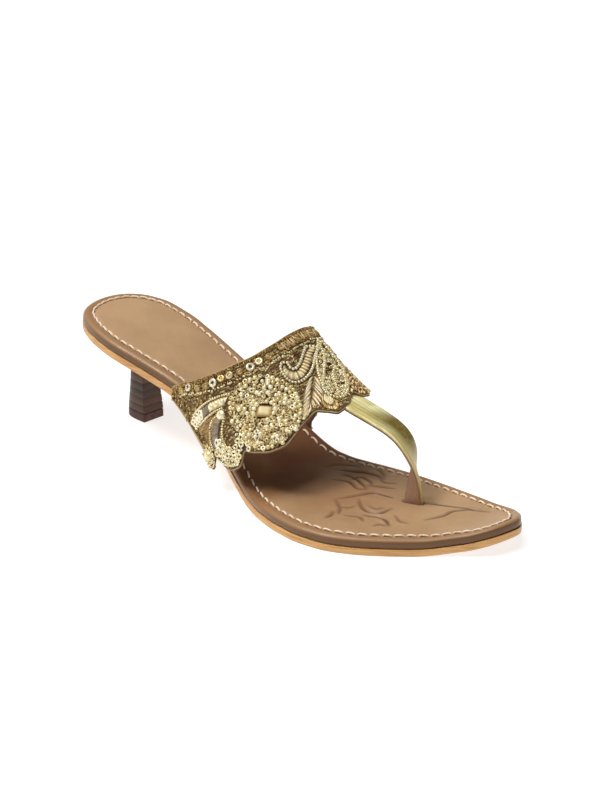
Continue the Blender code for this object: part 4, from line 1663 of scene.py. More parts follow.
# ---------------------------------------------------------------- the studio
@dataclass
class Studio:
    """A white floor, soft lights and the camera."""

    azimuth: float = math.radians(43.0)
    elevation: float = math.radians(23.59)
    distance: float = 1.475
    target: tuple[float, float, float] = (-0.0015, 0.0145, 0.020)
    lens: float = 145.6
    shift: tuple[float, float] = (0.0098, 0.0388)
    horizon: tuple[float, float, float, float] = (0.12, 0.30, 1.0, 0.10)

    def place(self, name: str, data: bpy.types.ID, place: Vector, out: Vector) -> Piece:
        """Puts a lamp or camera at a place, looking against a direction."""
        holder = bpy.data.objects.new(name, data)
        holder.location = place
        holder.rotation_euler = (-out).to_track_quat("-Z", "Y").to_euler()
        bpy.context.scene.collection.objects.link(holder)
        return holder

    def build_floor(self) -> None:
        """The floor under the shoe."""
        floor = added(bpy.ops.mesh.primitive_plane_add, size=12.0, location=(0.0, 0.0, 0.0))
        floor.name = "studio_floor"
        floor.data.materials.append(StudioPaper().make())

    def light(self, name: str, place: Span, spread: float, strength: float) -> None:
        """One wide, far softbox in this direction from the shoe."""
        lamp = bpy.data.lights.new(name, "SUN")
        lamp.energy, lamp.angle = strength, math.radians(spread)
        self.place(name, lamp, Vector(place), Vector(place))

    def build_lights(self) -> None:
        """A pale air that darkens upwards, a broad top light and a key from behind the heel."""
        air = Graph("studio_air", "worlds")
        way = air.node("TexCoord", {}).outputs["Generated"]
        glow = air.span(air.node("SeparateXYZ", {0: way}).outputs["Z"], *self.horizon)
        back = air.node("Background", {"Color": (1.0, 1.0, 1.0, 1.0), "Strength": glow})
        air.node("OutputWorld", {0: back.outputs[0]})
        bpy.context.scene.world = air.owner
        self.light("top_softbox", (-0.22, -0.20, 1.0), 46.0, 2.2)
        self.light("key_softbox", (-0.45, -0.55, 1.2), 14.0, 1.0)

    def build_camera(self) -> None:
        """The camera at its place."""
        a, e = self.azimuth, self.elevation
        out = Vector((math.sin(a) * math.cos(e), -math.cos(a) * math.cos(e), math.sin(e)))
        lens = bpy.data.cameras.new("studio_camera")
        camera = self.place("studio_camera", lens, Vector(self.target) + self.distance * out, out)
        lens.lens, lens.sensor_width = self.lens, 36.0
        lens.shift_x, lens.shift_y = self.shift
        lens.clip_start, lens.clip_end = 0.05, 60.0
        bpy.context.scene.camera = camera

    def build(self) -> None:
        """Builds the whole studio."""
        self.build_floor()
        self.build_lights()
        self.build_camera()
        view = bpy.context.scene.view_settings
        view.view_transform, view.look = "Standard", "None"


# ---------------------------------------------------------------- the beading
class Shape(Enum):
    """The small shapes that the embroidery is made of."""

    SEED_OPEN = "seed bead with its hole outwards"
    SEED_STRUNG = "seed bead strung along a line"
    RING_BEAD = "large bead with its hole outwards"
    PEARL = "round bead"
    SEQUIN = "cupped ring sequin"
    DISC = "flat paillette with a pierced middle"
    THREAD = "laid thread"
    CHAIN = "chain stitch"


# The rings: radius, half thickness, faces round and across, and how flat each is.
RINGS = {
    Shape.SEED_OPEN: (0.29, 0.21, 9, 5, 1.0),
    Shape.RING_BEAD: (0.31, 0.19, 14, 8, 1.05),
    Shape.SEQUIN: (0.33, 0.17, 18, 8, 0.8),
    Shape.CHAIN: (0.33, 0.17, 7, 4, 0.9),
}


def ring_motif(major: float, minor: float, around: int, across: int, flat: float) -> Motif:
    """A ring that lies flat, about one unit across, dark in its hole."""
    ring = added(
        bpy.ops.mesh.primitive_torus_add,
        major_radius=major,
        minor_radius=minor,
        major_segments=around,
        minor_segments=across,
    )
    move_points(ring, points_of(ring) * (1.0, 1.0, flat))

    def shade(places: Array) -> Array:
        """Painted shade, darker towards the hole."""
        reach = np.hypot(places[:, 0], places[:, 1])
        return np.clip((major - reach) / minor, 0.0, 1.0) ** 2 * 0.9

    return motif_from(ring, shade)


def disc_motif() -> Motif:
    """A low domed paillette, pierced in the middle."""
    disc = added(bpy.ops.mesh.primitive_circle_add, vertices=14, radius=0.5, fill_type="NGON")
    bpy.ops.object.mode_set(mode="EDIT")
    bpy.ops.mesh.select_all(action="SELECT")
    for inwards, up in ((0.08, 0.12), (0.14, 0.05), (0.15, -0.01), (0.04, -0.10)):
        bpy.ops.mesh.inset(thickness=inwards, depth=0.0)
        bpy.ops.transform.translate(value=(0.0, 0.0, up))
    bpy.ops.object.mode_set(mode="OBJECT")
    close_up(disc)
    # Painted shade in the pierced middle.
    return motif_from(disc, lambda at: (np.hypot(at[:, 0], at[:, 1]) < 0.13).astype(float))


def make_motif(shape: Shape) -> Motif:
    """Models one of the small shapes.

    Args:
        shape: which one.

    Returns:
        The shape, about one unit long.
    """
    sphere = bpy.ops.mesh.primitive_uv_sphere_add
    if shape is Shape.DISC:
        return disc_motif()
    if shape is Shape.PEARL:
        pearl = added(sphere, segments=10, ring_count=7, radius=0.5)
        # Painted shade on the round bead's lower side.
        return motif_from(pearl, lambda at: np.clip(-0.2 - at[:, 2], 0.0, 1.0))
    if shape is Shape.SEED_STRUNG:
        seed = added(sphere, segments=8, ring_count=6, radius=0.5)
        move_points(seed, points_of(seed)[:, [2, 0, 1]] * (0.92, 1.0, 1.0))
        # Painted shade where strung beads meet.
        return motif_from(seed, lambda at: np.clip(np.abs(at[:, 0]) * 4.0 - 1.2, 0.0, 1.0) * 0.8)
    if shape is Shape.THREAD:
        thread = cord("thread", np.linspace((-0.5, 0.0, 0.0), (0.5, 0.0, 0.0), 5), 0.5, 6)
        # Painted shade where the thread goes into the cloth.
        return motif_from(thread, lambda at: np.clip(np.abs(at[:, 0]) * 4 - 1.4, 0.0, 0.6))
    ring = ring_motif(*RINGS[shape])
    if shape is Shape.CHAIN:
        points = ring.points * (1.0, 0.66, 0.8)
        points[:, 2] += 0.16 * points[:, 0]
        return ring._replace(points=points)
    return ring


# Lines on the band's chart, in millimetres inward and forward of the stone.
MEDALLION = (
    (-2.5, -18.0), (3.5, -19.2), (9.5, -16.5), (15.0, -11.0), (16.8, -4.0), (16.5, 3.5),
    (12.3, 10.5), (6.8, 16.2), (-0.5, 19.6), (-8.0, 21.0), (-13.7, 16.0), (-17.2, 9.0),
    (-16.3, 2.8), (-13.5, -4.5), (-9.5, -12.5),
)
LEAF_ONE_TOP = (
    (1.2, -19.8), (0.0, -22.0), (-1.8, -25.0), (-3.9, -28.2), (-6.8, -32.0), (-10.4, -36.0),
    (-15.5, -40.6), (-20.0, -42.2), (-23.2, -41.6),
)
LEAF_ONE_LOW = (
    (-5.6, -20.2), (-7.5, -22.9), (-9.9, -25.8), (-13.5, -29.9), (-18.4, -35.8), (-22.8, -39.6),
)
LEAF_TWO_OUTER = (
    (-9.4, -21.4), (-12.0, -23.6), (-15.3, -24.3), (-18.9, -24.1), (-22.5, -23.4), (-25.2, -21.2),
    (-27.0, -18.0), (-28.0, -13.5), (-28.0, -6.8), (-26.7, -1.4), (-24.4, 3.2), (-21.3, 4.6),
)
LEAF_TWO_INNER = (
    (-8.4, -17.4), (-10.8, -16.6), (-13.2, -16.0), (-15.8, -15.0), (-18.4, -12.9), (-20.5, -9.7),
    (-21.5, -6.7), (-21.0, -3.8),
)
CURL = (
    (-20.5, -17.0), (-24.0, -18.0), (-26.5, -13.7), (-27.3, -5.5), (-26.0, 0.3), (-22.9, 4.2),
    (-19.3, 4.6), (-15.4, 2.0), (-12.4, 0.0), (-11.8, -3.6), (-13.0, -7.0), (-15.6, -6.0),
    (-16.8, -3.7), (-19.1, -4.6), (-21.1, -7.2), (-20.4, -10.5), (-18.8, -13.3),
)
FAN = (
    (-20.0, -36.5), (-26.0, -39.5), (-29.0, -33.0), (-26.5, -27.0), (-22.0, -22.0), (-18.0, -24.0),
)
TASSEL = (
    (-26.2, -28.6), (-24.8, -24.5), (-26.6, -20.4), (-30.2, -18.6), (-33.0, -20.6), (-33.6, -25.0),
    (-31.2, -29.0),
)
PAISLEY = (
    (38.5, -8.0), (35.4, -6.8), (31.1, -4.6), (27.3, -3.1), (24.8, -3.0), (24.2, -4.9),
    (25.4, -7.2), (23.8, -8.6), (21.6, -7.7), (19.6, -4.8), (18.5, -1.0), (19.3, 2.0),
    (22.2, 3.5), (26.0, 3.4), (30.4, 1.9), (35.0, -0.8), (39.0, -3.6), (42.5, -5.0),
)
PAISLEY_UPPER = ((38.5, -7.2), (35.0, -5.9), (31.0, -3.9), (27.0, -2.3), (24.6, -1.9))
PAISLEY_LOWER = ((41.5, -4.9), (38.0, -3.5), (34.0, -0.9), (29.8, 1.4), (25.6, 2.6))
BULB_OUTER = (
    (24.8, 3.0), (22.4, 3.0), (20.0, 2.0), (19.0, -0.5), (19.2, -3.6), (20.6, -6.0), (22.8, -7.6),
)
BULB_INNER = (
    (25.4, -1.4), (24.6, -2.0), (23.8, -2.8), (23.3, -3.8), (23.1, -4.8), (23.3, -5.8), (23.9, -6.6),
)
FEATHER_SPINE = ((27.4, 5.2), (22.9, 8.2), (19.0, 11.0), (15.1, 14.0), (10.1, 17.0), (4.6, 19.3))
FEATHER_LATERAL = ((26.0, 5.0), (22.3, 6.2), (18.0, 8.2), (13.7, 10.6), (9.7, 13.2), (4.2, 17.6))
FEATHER_MEDIAL = (
    (29.0, 6.0), (27.0, 9.2), (24.2, 13.2), (21.4, 16.8), (17.0, 19.3), (12.6, 20.4), (8.0, 20.4),
    (4.4, 20.2),
)
CLUSTER = (
    (46.8, -8.6), (41.5, -4.9), (37.8, -2.2), (34.4, 1.2), (31.0, 4.8), (28.4, 8.0), (26.0, 11.4),
    (23.8, 14.6), (23.6, 17.6), (24.5, 21.0), (27.9, 22.1), (33.0, 19.8), (37.8, 15.4),
    (41.8, 9.8), (44.8, 4.0), (46.6, -1.8), (47.0, -6.0),
)
CLUSTER_LOOPS = (
    ((44.6, -6.4), (42.6, -3.4), (41.2, -1.0), (37.5, 2.6), (31.9, 7.2), (27.0, 10.8)),
    ((39.7, 6.8), (35.3, 9.3), (31.9, 13.4), (28.5, 17.8), (28.0, 20.8)),
    ((40.2, 9.6), (38.2, 13.8), (34.0, 18.0), (29.4, 20.6)),
)
CLUSTER_OUTER = (
    (46.5, -9.0), (47.0, 0.0), (43.5, 7.0), (38.0, 14.0), (35.0, 20.0), (29.5, 23.5),
    (33.0, 29.0), (40.0, 29.0), (47.0, 24.0), (53.0, 14.0), (56.0, 4.0), (55.0, -5.0),
)
FLAP = (
    (21.0, 15.0), (16.2, 19.6), (15.2, 24.3), (16.2, 27.0), (19.4, 26.4), (22.0, 24.0), (22.6, 20.0),
)
SCROLL = (
    (17.0, -11.5), (20.5, -11.8), (24.0, -11.3), (28.0, -9.8), (29.5, -8.0), (28.5, -6.3),
    (26.6, -6.6),
)
# The open eyes in the bead leaf: millimetres inward and forward, and how far each reaches.
CLUSTER_EYES = ((37.0, -0.4, 1.3), (35.6, 6.8, 1.8), (39.2, 4.6, 1.2), (33.4, 15.4, 1.4))
# Where the ring sequins lie round the border, and how bright each is.
SEQUINS = (
    (0.035, 0.40), (0.077, 0.90), (0.120, 0.35), (0.158, 0.20), (0.196, 1.00), (0.230, 0.55),
    (0.272, 0.70), (0.310, 0.20), (0.348, 1.00), (0.392, 0.75), (0.425, 0.25), (0.480, 0.15),
    (0.545, 0.20), (0.610, 0.25), (0.670, 0.45), (0.730, 0.85), (0.790, 0.60), (0.850, 0.75),
    (0.910, 0.50), (0.965, 0.80),
)


@dataclass
class Beading:
    """All the beads, sequins and laid threads of the band.

    The pattern is laid on a chart, and side is -1 while it is mirrored. Its sizes and places
    are in millimetres, the chain stitch rows and the border in metres.
    """

    band: Band
    chart: Chart
    side: float = 1.0
    seed: int = 21
    border: float = 6.6 * MM
    row_pitch: float = 1.12 * MM
    link: float = 1.45 * MM
    border_thread: float = 0.6 * MM
    bead: float = 2.4
    seed_bead: float = 1.22
    medallion_reach: float = 18.4
    medallion_core: float = 3.9
    around_scale: float = 110.0
    fine_pitch: float = 0.1

    def __post_init__(self) -> None:
        """Starts the hand's small unevenness and the lists of what is laid."""
        self.draw = np.random.default_rng(self.seed)
        self.laid: dict[str, tuple[Shape, list[Copies]]] = {}

    # -- laying things down
    def put(self, name: str, shape: Shape, copies: Copies) -> None:
        """Adds copies of a shape to one of the band's pieces."""
        self.laid.setdefault("band_" + name, (shape, []))[1].append(copies)

    def own(self, line: Line) -> Array:
        """A line of the chart, mirrored while the echo is laid."""
        return np.array(line) * (self.side, 1.0)

    def fine(self, line: Line, steps: int = 10) -> Array:
        """Places close together along a line of the chart."""
        return spaced(flowing(self.own(line), steps), self.fine_pitch)[0]

    def varied(self, size: float, low: float, high: float, count: int) -> Array:
        """This many sizes that vary between two shares, each the same in all directions."""
        return size * self.draw.uniform(low, high, (count, 1)) * np.ones((1, 3))

    def lean(self, normal: Array, way: Array, tilt: float) -> Pair:
        """Leans each small thing a little off the surface."""
        normal = unit(normal + self.draw.normal(0.0, math.radians(tilt), normal.shape))
        return normal, square_to(way, normal)

    def onto(
        self, places: Array, ways: Line, lift: float, size: Line, tint: Span, tilt: float, margin: float = 0.9
    ) -> Copies:
        """Lays small things on the chart.

        Args:
            places: where each lies, inward and forward.
            ways: the direction of each on the chart.
            lift: how far its middle is above the cloth.
            size: its length, width and height, for all or for each.
            tint: the lowest and highest tint.
            tilt: how far each leans, in degrees.
            margin: how far it stays from the band's edges.

        Returns:
            The copies that lie on the band.
        """
        x, around = self.chart.find(places)
        points, normal, ahead = self.chart.face(x, around, lift * MM)
        inward, forward = np.array(ways).T[:, :, None]
        way = unit(ahead * forward + np.cross(normal, ahead) * inward)
        normal, way = self.lean(normal, way, tilt)
        size = np.broadcast_to(size, (len(places), 3)) * MM
        copies = Copies(points, way, normal, size, self.draw.uniform(*tint, len(places)))
        back, front = self.band.last.edges(around)
        hem = 0.5 * (self.band.low - 0.015) if margin >= 0.0 else 2 * self.band.low
        keep = (x > back + margin * MM) & (x < front - margin * MM)
        return copies.kept(keep & (around > hem) & (around < 1.0 - hem))

    def strewn(
        self, places: Array, lift: float, size: Line, tint: Span, tilt: float = 14.0, margin: float = 0.9
    ) -> Copies:
        """Lays small things on the chart, each turned another way."""
        turn = self.draw.uniform(0.0, 2 * math.pi, len(places))
        ways = np.stack((np.cos(turn), np.sin(turn)), -1)
        return self.onto(places, ways, lift, size, tint, tilt, margin)

    def line(
        self, name: str, points: Line, size: float, tint: Span, closed: bool = False, lift: float = 0.25
    ) -> None:
        """Strings seed beads along a line of the chart."""
        places, ways = spaced(flowing(self.own(points), 16, closed), 0.97 * size, closed)
        sizes = self.varied(size, 0.94, 1.08, len(places))
        self.put(name, Shape.SEED_STRUNG, self.onto(places, ways, lift, sizes, tint, 7.0))

    def fill(self, outline: Array, pitch: float, wander: float) -> Array:
        """Close-packed places inside an outline, a little out of line."""
        low, high = outline.min(axis=0), outline.max(axis=0)
        places = []
        for k, row in enumerate(np.arange(low[1], high[1], pitch * 0.87)):
            columns = np.arange(low[0] + (k % 2) * pitch / 2, high[0], pitch)
            places.append(np.stack((columns, np.full(len(columns), row)), -1))
        places = np.concatenate(places)
        places = places + self.draw.normal(0.0, wander * pitch / 2, places.shape)
        return places[inside(outline, places)]

    def held(self, starts: Array, ends: Array) -> Array:
        """The ends, drawn back towards the starts until they lie on the cloth."""
        for _ in range(16):
            x, around = self.chart.find(ends)
            back, front = self.band.last.edges(around)
            out = (around < -0.03) | (around > 1.02) | (x < back + 0.6 * MM) | (x > front - 0.7 * MM)
            if not out.any():
                break
            ends = np.where(out[:, None], starts + 0.93 * (ends - starts), ends)
        return ends

    def threads(
        self, name: str, starts: Array, ends: Array, thick: float, tint: Span, lift: float
    ) -> None:
        """Lays a thread from each start to its end."""
        ends = self.held(starts, ends)
        size = np.full((len(ends), 3), thick)
        size[:, 0] = np.linalg.norm(ends - starts, axis=1)
        copies = self.onto((starts + ends) / 2, unit(ends - starts), lift, size, tint, 3.0, 0.5)
        self.put(name, Shape.THREAD, copies)

    # -- the ground and the border
    def row_at(self, around: Array, offset: float) -> tuple[Array, Array]:
        """x of the row this far ahead of the back edge, and the points over it."""
        x = self.band.last.edges(around)[0] + offset
        return x, self.band.last.over(x, around)

    def row(self, offset: float, pitch: float) -> tuple[Array, Array, Array, Array, Array]:
        """A row that keeps its distance from the band's back edge.

        Args:
            offset: how far ahead of the back edge.
            pitch: how far apart its places are.

        Returns:
            x and around of each place, the points, the normals and the directions along it.
        """
        around, turn = np.linspace(self.band.low, self.band.high, 900), 0.002
        reach = travelled(self.row_at(around, offset)[1])
        at = np.arange(self.draw.uniform(0.2, 1.0) * pitch, reach[-1], pitch)
        at = at + self.draw.normal(0.0, 0.05 * pitch, len(at))
        around = np.interp(at, reach, around)
        x, points = self.row_at(around, offset)
        normal = self.band.last.outward(x, around)
        ahead = self.row_at(around + turn, offset)[1] - self.row_at(around - turn, offset)[1]
        return x, around, points, normal, square_to(ahead, normal)

    def raised(self, points: Array, normal: Array, lift: float) -> Array:
        """Points this far above the band's outer face, from its inner face."""
        return points + normal * (self.band.wall + lift)

    def chain_field(self) -> None:
        """Rows of gilt chain stitch over the whole cloth."""
        bare = []
        for line in (MEDALLION, CURL, PAISLEY[3:16]):
            curve = flowing(line, 6, closed=True)
            middle = curve.mean(axis=0)
            x, around = self.chart.find(middle + (curve - middle) * 0.93)
            bare.append(np.stack((x / MM, around * self.around_scale), -1))
        offset = 1.9 * MM
        while offset < 48 * MM:
            x, around, points, normal, ahead = self.row(offset, 0.8 * self.link)
            keep = (x < self.band.last.edges(around)[1] - 0.9 * MM) & (around > -0.053) & (around < 1.053)
            places = np.stack((x / MM, around * self.around_scale), -1)
            for outline in bare:
                keep &= ~inside(outline, places)
            normal, ahead = self.lean(normal, ahead, 7.0)
            size = np.full((len(x), 3), self.link)
            for axis, least in ((1, 0.8), (2, 0.7)):
                size[:, axis] *= self.draw.uniform(least, 1.1, len(x))
            tint = self.draw.beta(1.1, 1.3, len(x))
            if abs(offset - self.border) >= 0.6 * MM:
                centre = self.raised(points, normal, 0.12 * MM)
                copies = Copies(centre, ahead, normal, size, tint)
                self.put("chain_stitches", Shape.CHAIN, copies.kept(keep))
            offset += self.row_pitch

    def border_lines(self) -> None:
        """The bead line of the border and the one along the back edge."""
        for name, offset, size, tint, start in (
            ("border_bead_line", self.border, 1.05 * MM, (0.45, 1.0), 0.0),
            ("edge_bead_line", 1.0 * MM, 0.85 * MM, (0.0, 0.6), -1.0),
        ):
            _, around, points, normal, ahead = self.row(offset, 0.98 * size)
            sizes = self.varied(size, 0.9, 1.1, len(around))
            normal, ahead = self.lean(normal, ahead, 6.0)
            centre = self.raised(points, normal, 0.4 * MM)
            copies = Copies(centre, ahead, normal, sizes, self.draw.uniform(*tint, len(around)))
            self.put(name, Shape.SEED_STRUNG, copies.kept(around > start))

    def border_threads(self) -> None:
        """The overcast threads on both sides of the border, and the satin at the crown."""
        for name, offset, length, pitch, start, end in (
            ("overcast_threads", 1.25 * MM, 1.5 * MM, 0.95 * MM, -1.0, 2.0),
            ("overcast_threads", 5.5 * MM, 1.2 * MM, 1.1 * MM, -1.0, 2.0),
            ("crown_satin", 3.4 * MM, 5.6 * MM, 0.75 * MM, 0.485, 0.68),
        ):
            _, around, points, normal, ahead = self.row(offset, pitch)
            normal, across = self.lean(normal, np.cross(normal, ahead), 7.0)
            size = np.full((len(around), 3), self.border_thread)
            size[:, 0] = length
            centre = self.raised(points, normal, 0.3 * MM)
            tint = self.draw.uniform(0.2, 1.0, len(around))
            copies = Copies(centre, across, normal, size, tint)
            self.put(name, Shape.THREAD, copies.kept((around > start) & (around < end)))

    def border_sequins(self) -> None:
        """The border's ring sequins, with a small bead in the duller ones."""
        around, bright = np.array(SEQUINS).T
        x, points = self.row_at(around, 3.7 * MM)
        normal = self.band.last.outward(x, around)
        ahead = unit(np.cross(normal, np.array((0.0, 1.0, 0.2))))
        normal, ahead = self.lean(normal, ahead, 7.0)
        size = (3.0 + 1.1 * bright)[:, None] * MM * np.ones((1, 3))
        centre = self.raised(points, normal, 0.5 * MM)
        self.put("ring_sequins", Shape.SEQUIN, Copies(centre, ahead, normal, size, bright))
        small, centre = np.full(size.shape, 1.3 * MM), self.raised(points, normal, 0.55 * MM)
        copies = Copies(centre, ahead, normal, small, bright).kept(bright < 0.85)
        self.put("sequin_beads", Shape.SEED_OPEN, copies)

    # -- the ornaments
    def medallion(self) -> None:
        """Rings of large beads round the stone, with small ones in the gaps."""
        curve = flowing(self.own(MEDALLION), 14, closed=True)
        bead, reach, core = self.bead, self.medallion_reach, self.medallion_core
        rings = [curve * (1.0 - depth * bead / reach) for depth in (0.45, 1.38)]
        loops = [spaced(ring, bead * 0.96, closed=True)[0] for ring in rings]
        turn = np.linspace(0.0, 2 * math.pi, 60)
        eye = np.stack((np.cos(turn), np.sin(turn)), -1) * (core + 0.45 * bead)
        loops.append(spaced(eye, bead * 0.9, closed=True)[0])
        packed = self.fill(curve * (1.0 - 1.9 * bead / reach), bead * 0.95, 0.42)
        loops.append(packed[np.linalg.norm(packed, axis=1) > core + 1.2 * bead])
        places = np.concatenate(loops)
        places = places + self.draw.normal(0.0, 0.05 * bead, places.shape)
        size = self.varied(bead, 0.84, 1.14, len(places))
        copies = self.strewn(places, 0.7, size, (0.1, 1.0), 18.0, 0.5)
        copies = copies._replace(tint=self.draw.beta(0.8, 0.7, len(copies.tint)))
        pearls = self.draw.uniform(0, 1, len(copies.tint)) < 0.55
        self.put("medallion_ring_beads", Shape.RING_BEAD, copies.kept(~pearls))
        copies = copies._replace(size=copies.size * (0.95, 0.95, 0.85)).kept(pearls)
        self.put("medallion_round_beads", Shape.PEARL, copies)
        between = self.fill(curve * (1.0 - 0.4 * bead / reach), 1.0, 0.4)
        between = between[np.linalg.norm(between, axis=1) > core]
        between = between[nearest(places, between) > 0.47 * bead]
        tiny = self.strewn(between, 0.8, (1.25, 1.25, 1.2), (0.1, 1.0), margin=0.5)
        self.put("medallion_gap_beads", Shape.SEED_OPEN, tiny)

    def leaf_one(self) -> None:
        """The first leaf: two bead lines, cream paillettes, a grey band and pierced discs."""
        for line in (LEAF_ONE_TOP, LEAF_ONE_LOW):
            self.line("leaf_bead_lines", line, self.seed_bead, (0.4, 1.0))
        at = np.linspace(0.0, 1.0, 201)
        upper, lower = (
            shares(spaced(flowing(self.own(line), 12), 0.25)[0], at)
            for line in (LEAF_ONE_TOP, LEAF_ONE_LOW)
        )

        def across(share: Array, part: float) -> Array:
            """Places in the leaf: shares of its length and a share of its width."""
            i = np.round(share * 200).astype(int)
            return upper[i] + (lower[i] - upper[i]) * part

        for name, low, high, count, trim, thick, tint, lift in (
            ("satin_threads", 0.0, 0.28, 26, 0.12, 0.8, (0.4, 1.0), 0.15),
            ("silver_threads", 0.31, 0.46, 15, 0.12, 0.7, (0.0, 0.5), 0.3),
            ("satin_threads", 0.47, 0.96, 52, 0.13, 0.8, (0.8, 1.0), 0.4),
        ):
            at = np.linspace(low, high, count)
            self.threads(name, across(at, trim), across(at + 0.01, 1.0 - trim), thick, tint, lift)
        at = np.array((0.06, 0.15, 0.25))
        blobs = across(at, 0.5)
        copies = self.onto(blobs, unit(blobs - across(at - 0.04, 0.5)), 0.6, (3.4, 3.6, 2.2), (0.7, 1.0), 4.0)
        self.put("leaf_paillettes", Shape.PEARL, copies)
        discs = [across(share, part) for share in np.linspace(0.52, 0.92, 5) for part in (0.32, 0.68)]
        copies = self.strewn(np.array(discs), 0.7, (2.9, 2.9, 1.1), (0.8, 1.0), 3.0)
        self.put("leaf_discs", Shape.DISC, copies)

    def leaf_two(self) -> None:
        """The second leaf: grey silk between bead lines, curling into a ring-filled end."""
        for line in (LEAF_TWO_OUTER, LEAF_TWO_INNER):
            self.line("leaf_bead_lines", line, self.seed_bead, (0.4, 1.0))
        at = np.linspace(0.1, 1.0, 28)
        starts = shares(self.fine(LEAF_TWO_OUTER[:6], 12), at)
        ends = shares(self.fine(LEAF_TWO_INNER[:5], 12), at)
        trim = (ends - starts) * 0.12
        self.threads("silver_threads", starts + trim, ends - trim, 0.75, (0.0, 0.6), 0.3)
        for name, shape, place, size, tint, tilt in (
            ("leaf_paillettes", Shape.PEARL, (-8.4, -19.2), (4.8, 4.6, 2.4), (0.7, 0.9), 2.0),
            ("ring_sequins", Shape.SEQUIN, (-20.4, -16.4), (4.2, 4.2, 4.0), (0.9, 1.0), 4.0),
        ):
            self.put(name, shape, self.onto(self.own((place,)), ((0.2, 1.0),), 0.6, size, tint, tilt))
        curl = flowing(self.own(CURL), 8, closed=True)
        middle = curl.mean(axis=0)
        big = self.fill(middle + (curl - middle) * 0.94, 3.0, 0.3)
        copies = self.strewn(big, 0.6, self.varied(2.9, 0.9, 1.12, len(big)), (0.5, 1.0), 12.0)
        self.put("curl_ring_beads", Shape.RING_BEAD, copies)
        small = self.fill(curl, 1.35, 0.3)
        small = small[nearest(big, small) > 1.55]
        self.put("curl_beads", Shape.SEED_OPEN, self.strewn(small, 0.5, (1.6, 1.6, 1.5), (0.3, 1.0)))

    def fan(self) -> None:
        """Long gold threads fanning out between the two leaves, in legs that overlap."""
        apex = self.own(((-7.0, -19.5),))
        ends = spaced(flowing(self.own(FAN), 10), 0.62)[0]
        ends = self.held(apex + 0.0 * ends, ends)
        starts = apex + (ends - apex) * self.draw.uniform(0.12, 0.3, (len(ends), 1))
        step = (ends - starts) / 3
        for leg, share in enumerate((1.25, 1.25, 1.0)):
            low = starts + leg * step
            self.threads("gold_threads", low, low + share * step, 0.66, (0.1, 0.8), 0.15)

    def tassel(self) -> None:
        """A cream paillette among open beads, hanging over the hem."""
        pad, way = ((-28.8, -24.9),), ((-0.75, 0.66),)
        copies = self.onto(self.own(pad), self.own(way), 0.9, (5.4, 4.8, 3.0), (0.6, 0.8), 2.0, -3.0)
        self.put("leaf_paillettes", Shape.PEARL, copies)
        places = self.fill(flowing(self.own(TASSEL), 8, closed=True), 1.4, 0.4)
        copies = self.strewn(places, 0.6, (1.6, 1.6, 1.5), (0.3, 1.0), 20.0, -3.0)
        self.put("curl_beads", Shape.SEED_OPEN, copies)

    def paisley(self) -> None:
        """The paisley: a beaded outline, a ladder of threads and a silvery bulb."""
        self.line("paisley_bead_line", PAISLEY, 1.45, (0.7, 1.0), True, 0.6)
        ladder, bulb = (PAISLEY_UPPER, PAISLEY_LOWER), (BULB_OUTER, BULB_INNER)
        for name, lines, count, thick, tint, lift in (
            ("gold_threads", ladder, 26, 1.0, (0.3, 1.0), 0.1),
            ("paisley_rungs", ladder, 10, 1.0, (0.7, 1.0), 0.45),
            ("bulb_threads", bulb, 24, 0.55, (0.0, 1.0), 0.35),
        ):
            at = np.linspace(0.0, 1.0, count)
            starts, ends = (shares(self.fine(line), at) for line in lines)
            self.threads(name, starts, ends, thick, tint, lift)

    def feather(self) -> None:
        """The feather, laid in slanting threads on both sides of its spine."""
        spine = self.fine(FEATHER_SPINE, 12)
        for name, count, thick, tint, lift, shift in (
            ("feather_ground", 30, 0.9, (0.0, 0.6), 0.1, 0.0),
            ("feather_threads", 11, 0.62, (0.5, 1.0), 0.65, 0.0),
            ("satin_threads", 11, 0.50, (0.2, 1.0), 0.6, 0.03),
            ("bulb_threads", 11, 0.50, (0.0, 0.7), 0.5, 0.06),
        ):
            for edge, slant in ((FEATHER_LATERAL, 0.27), (FEATHER_MEDIAL, 0.26)):
                at = np.linspace(-0.12, 0.92, count) + shift
                starts = shares(spine, np.clip(at, 0, 1))
                at = np.clip(at + slant + self.draw.normal(0.0, 0.02, count), 0.0, 1.0)
                self.threads(name, starts, shares(self.fine(edge, 12), at), thick, tint, lift)

    def cluster(self) -> None:
        """The seed-bead leaf at the inner end, with open eyes, loops and a worked surround."""
        places = self.fill(flowing(self.own(CLUSTER), 8, closed=True), 1.5, 0.5)
        for *centre, reach in CLUSTER_EYES:
            places = places[np.linalg.norm(places - self.own((centre,)), axis=1) > reach]
        copies = self.strewn(places, 0.5, (1.85, 1.85, 1.6), (0.1, 1.0), 18.0)
        pale = self.draw.uniform(0, 1, len(copies.tint)) < 0.62
        self.put("cluster_beads", Shape.SEED_OPEN, copies.kept(~pale))
        self.put("curl_beads", Shape.SEED_OPEN, copies.kept(pale))
        self.line("leaf_bead_lines", CLUSTER, 1.5, (0.4, 1.0), True, 0.6)
        for loop in CLUSTER_LOOPS:
            self.line("leaf_bead_lines", loop, 1.5, (0.4, 1.0), False, 0.75)
        places = self.fill(flowing(self.own(CLUSTER_OUTER), 8, closed=True), 1.5, 0.5)
        low = places[:, 1] < 9.0
        copies = self.strewn(places[low], 0.4, (1.6, 1.6, 1.4), (0.2, 1.0), 20.0, 0.4)
        self.put("cluster_beads", Shape.SEED_OPEN, copies)
        ways = np.tile(self.own(((-0.3, 0.95),)), ((~low).sum(), 1))
        copies = self.onto(places[~low], ways, 0.3, (2.2, 0.9, 0.9), (0.1, 1.0), 12.0, 0.4)
        self.put("crown_satin", Shape.THREAD, copies)

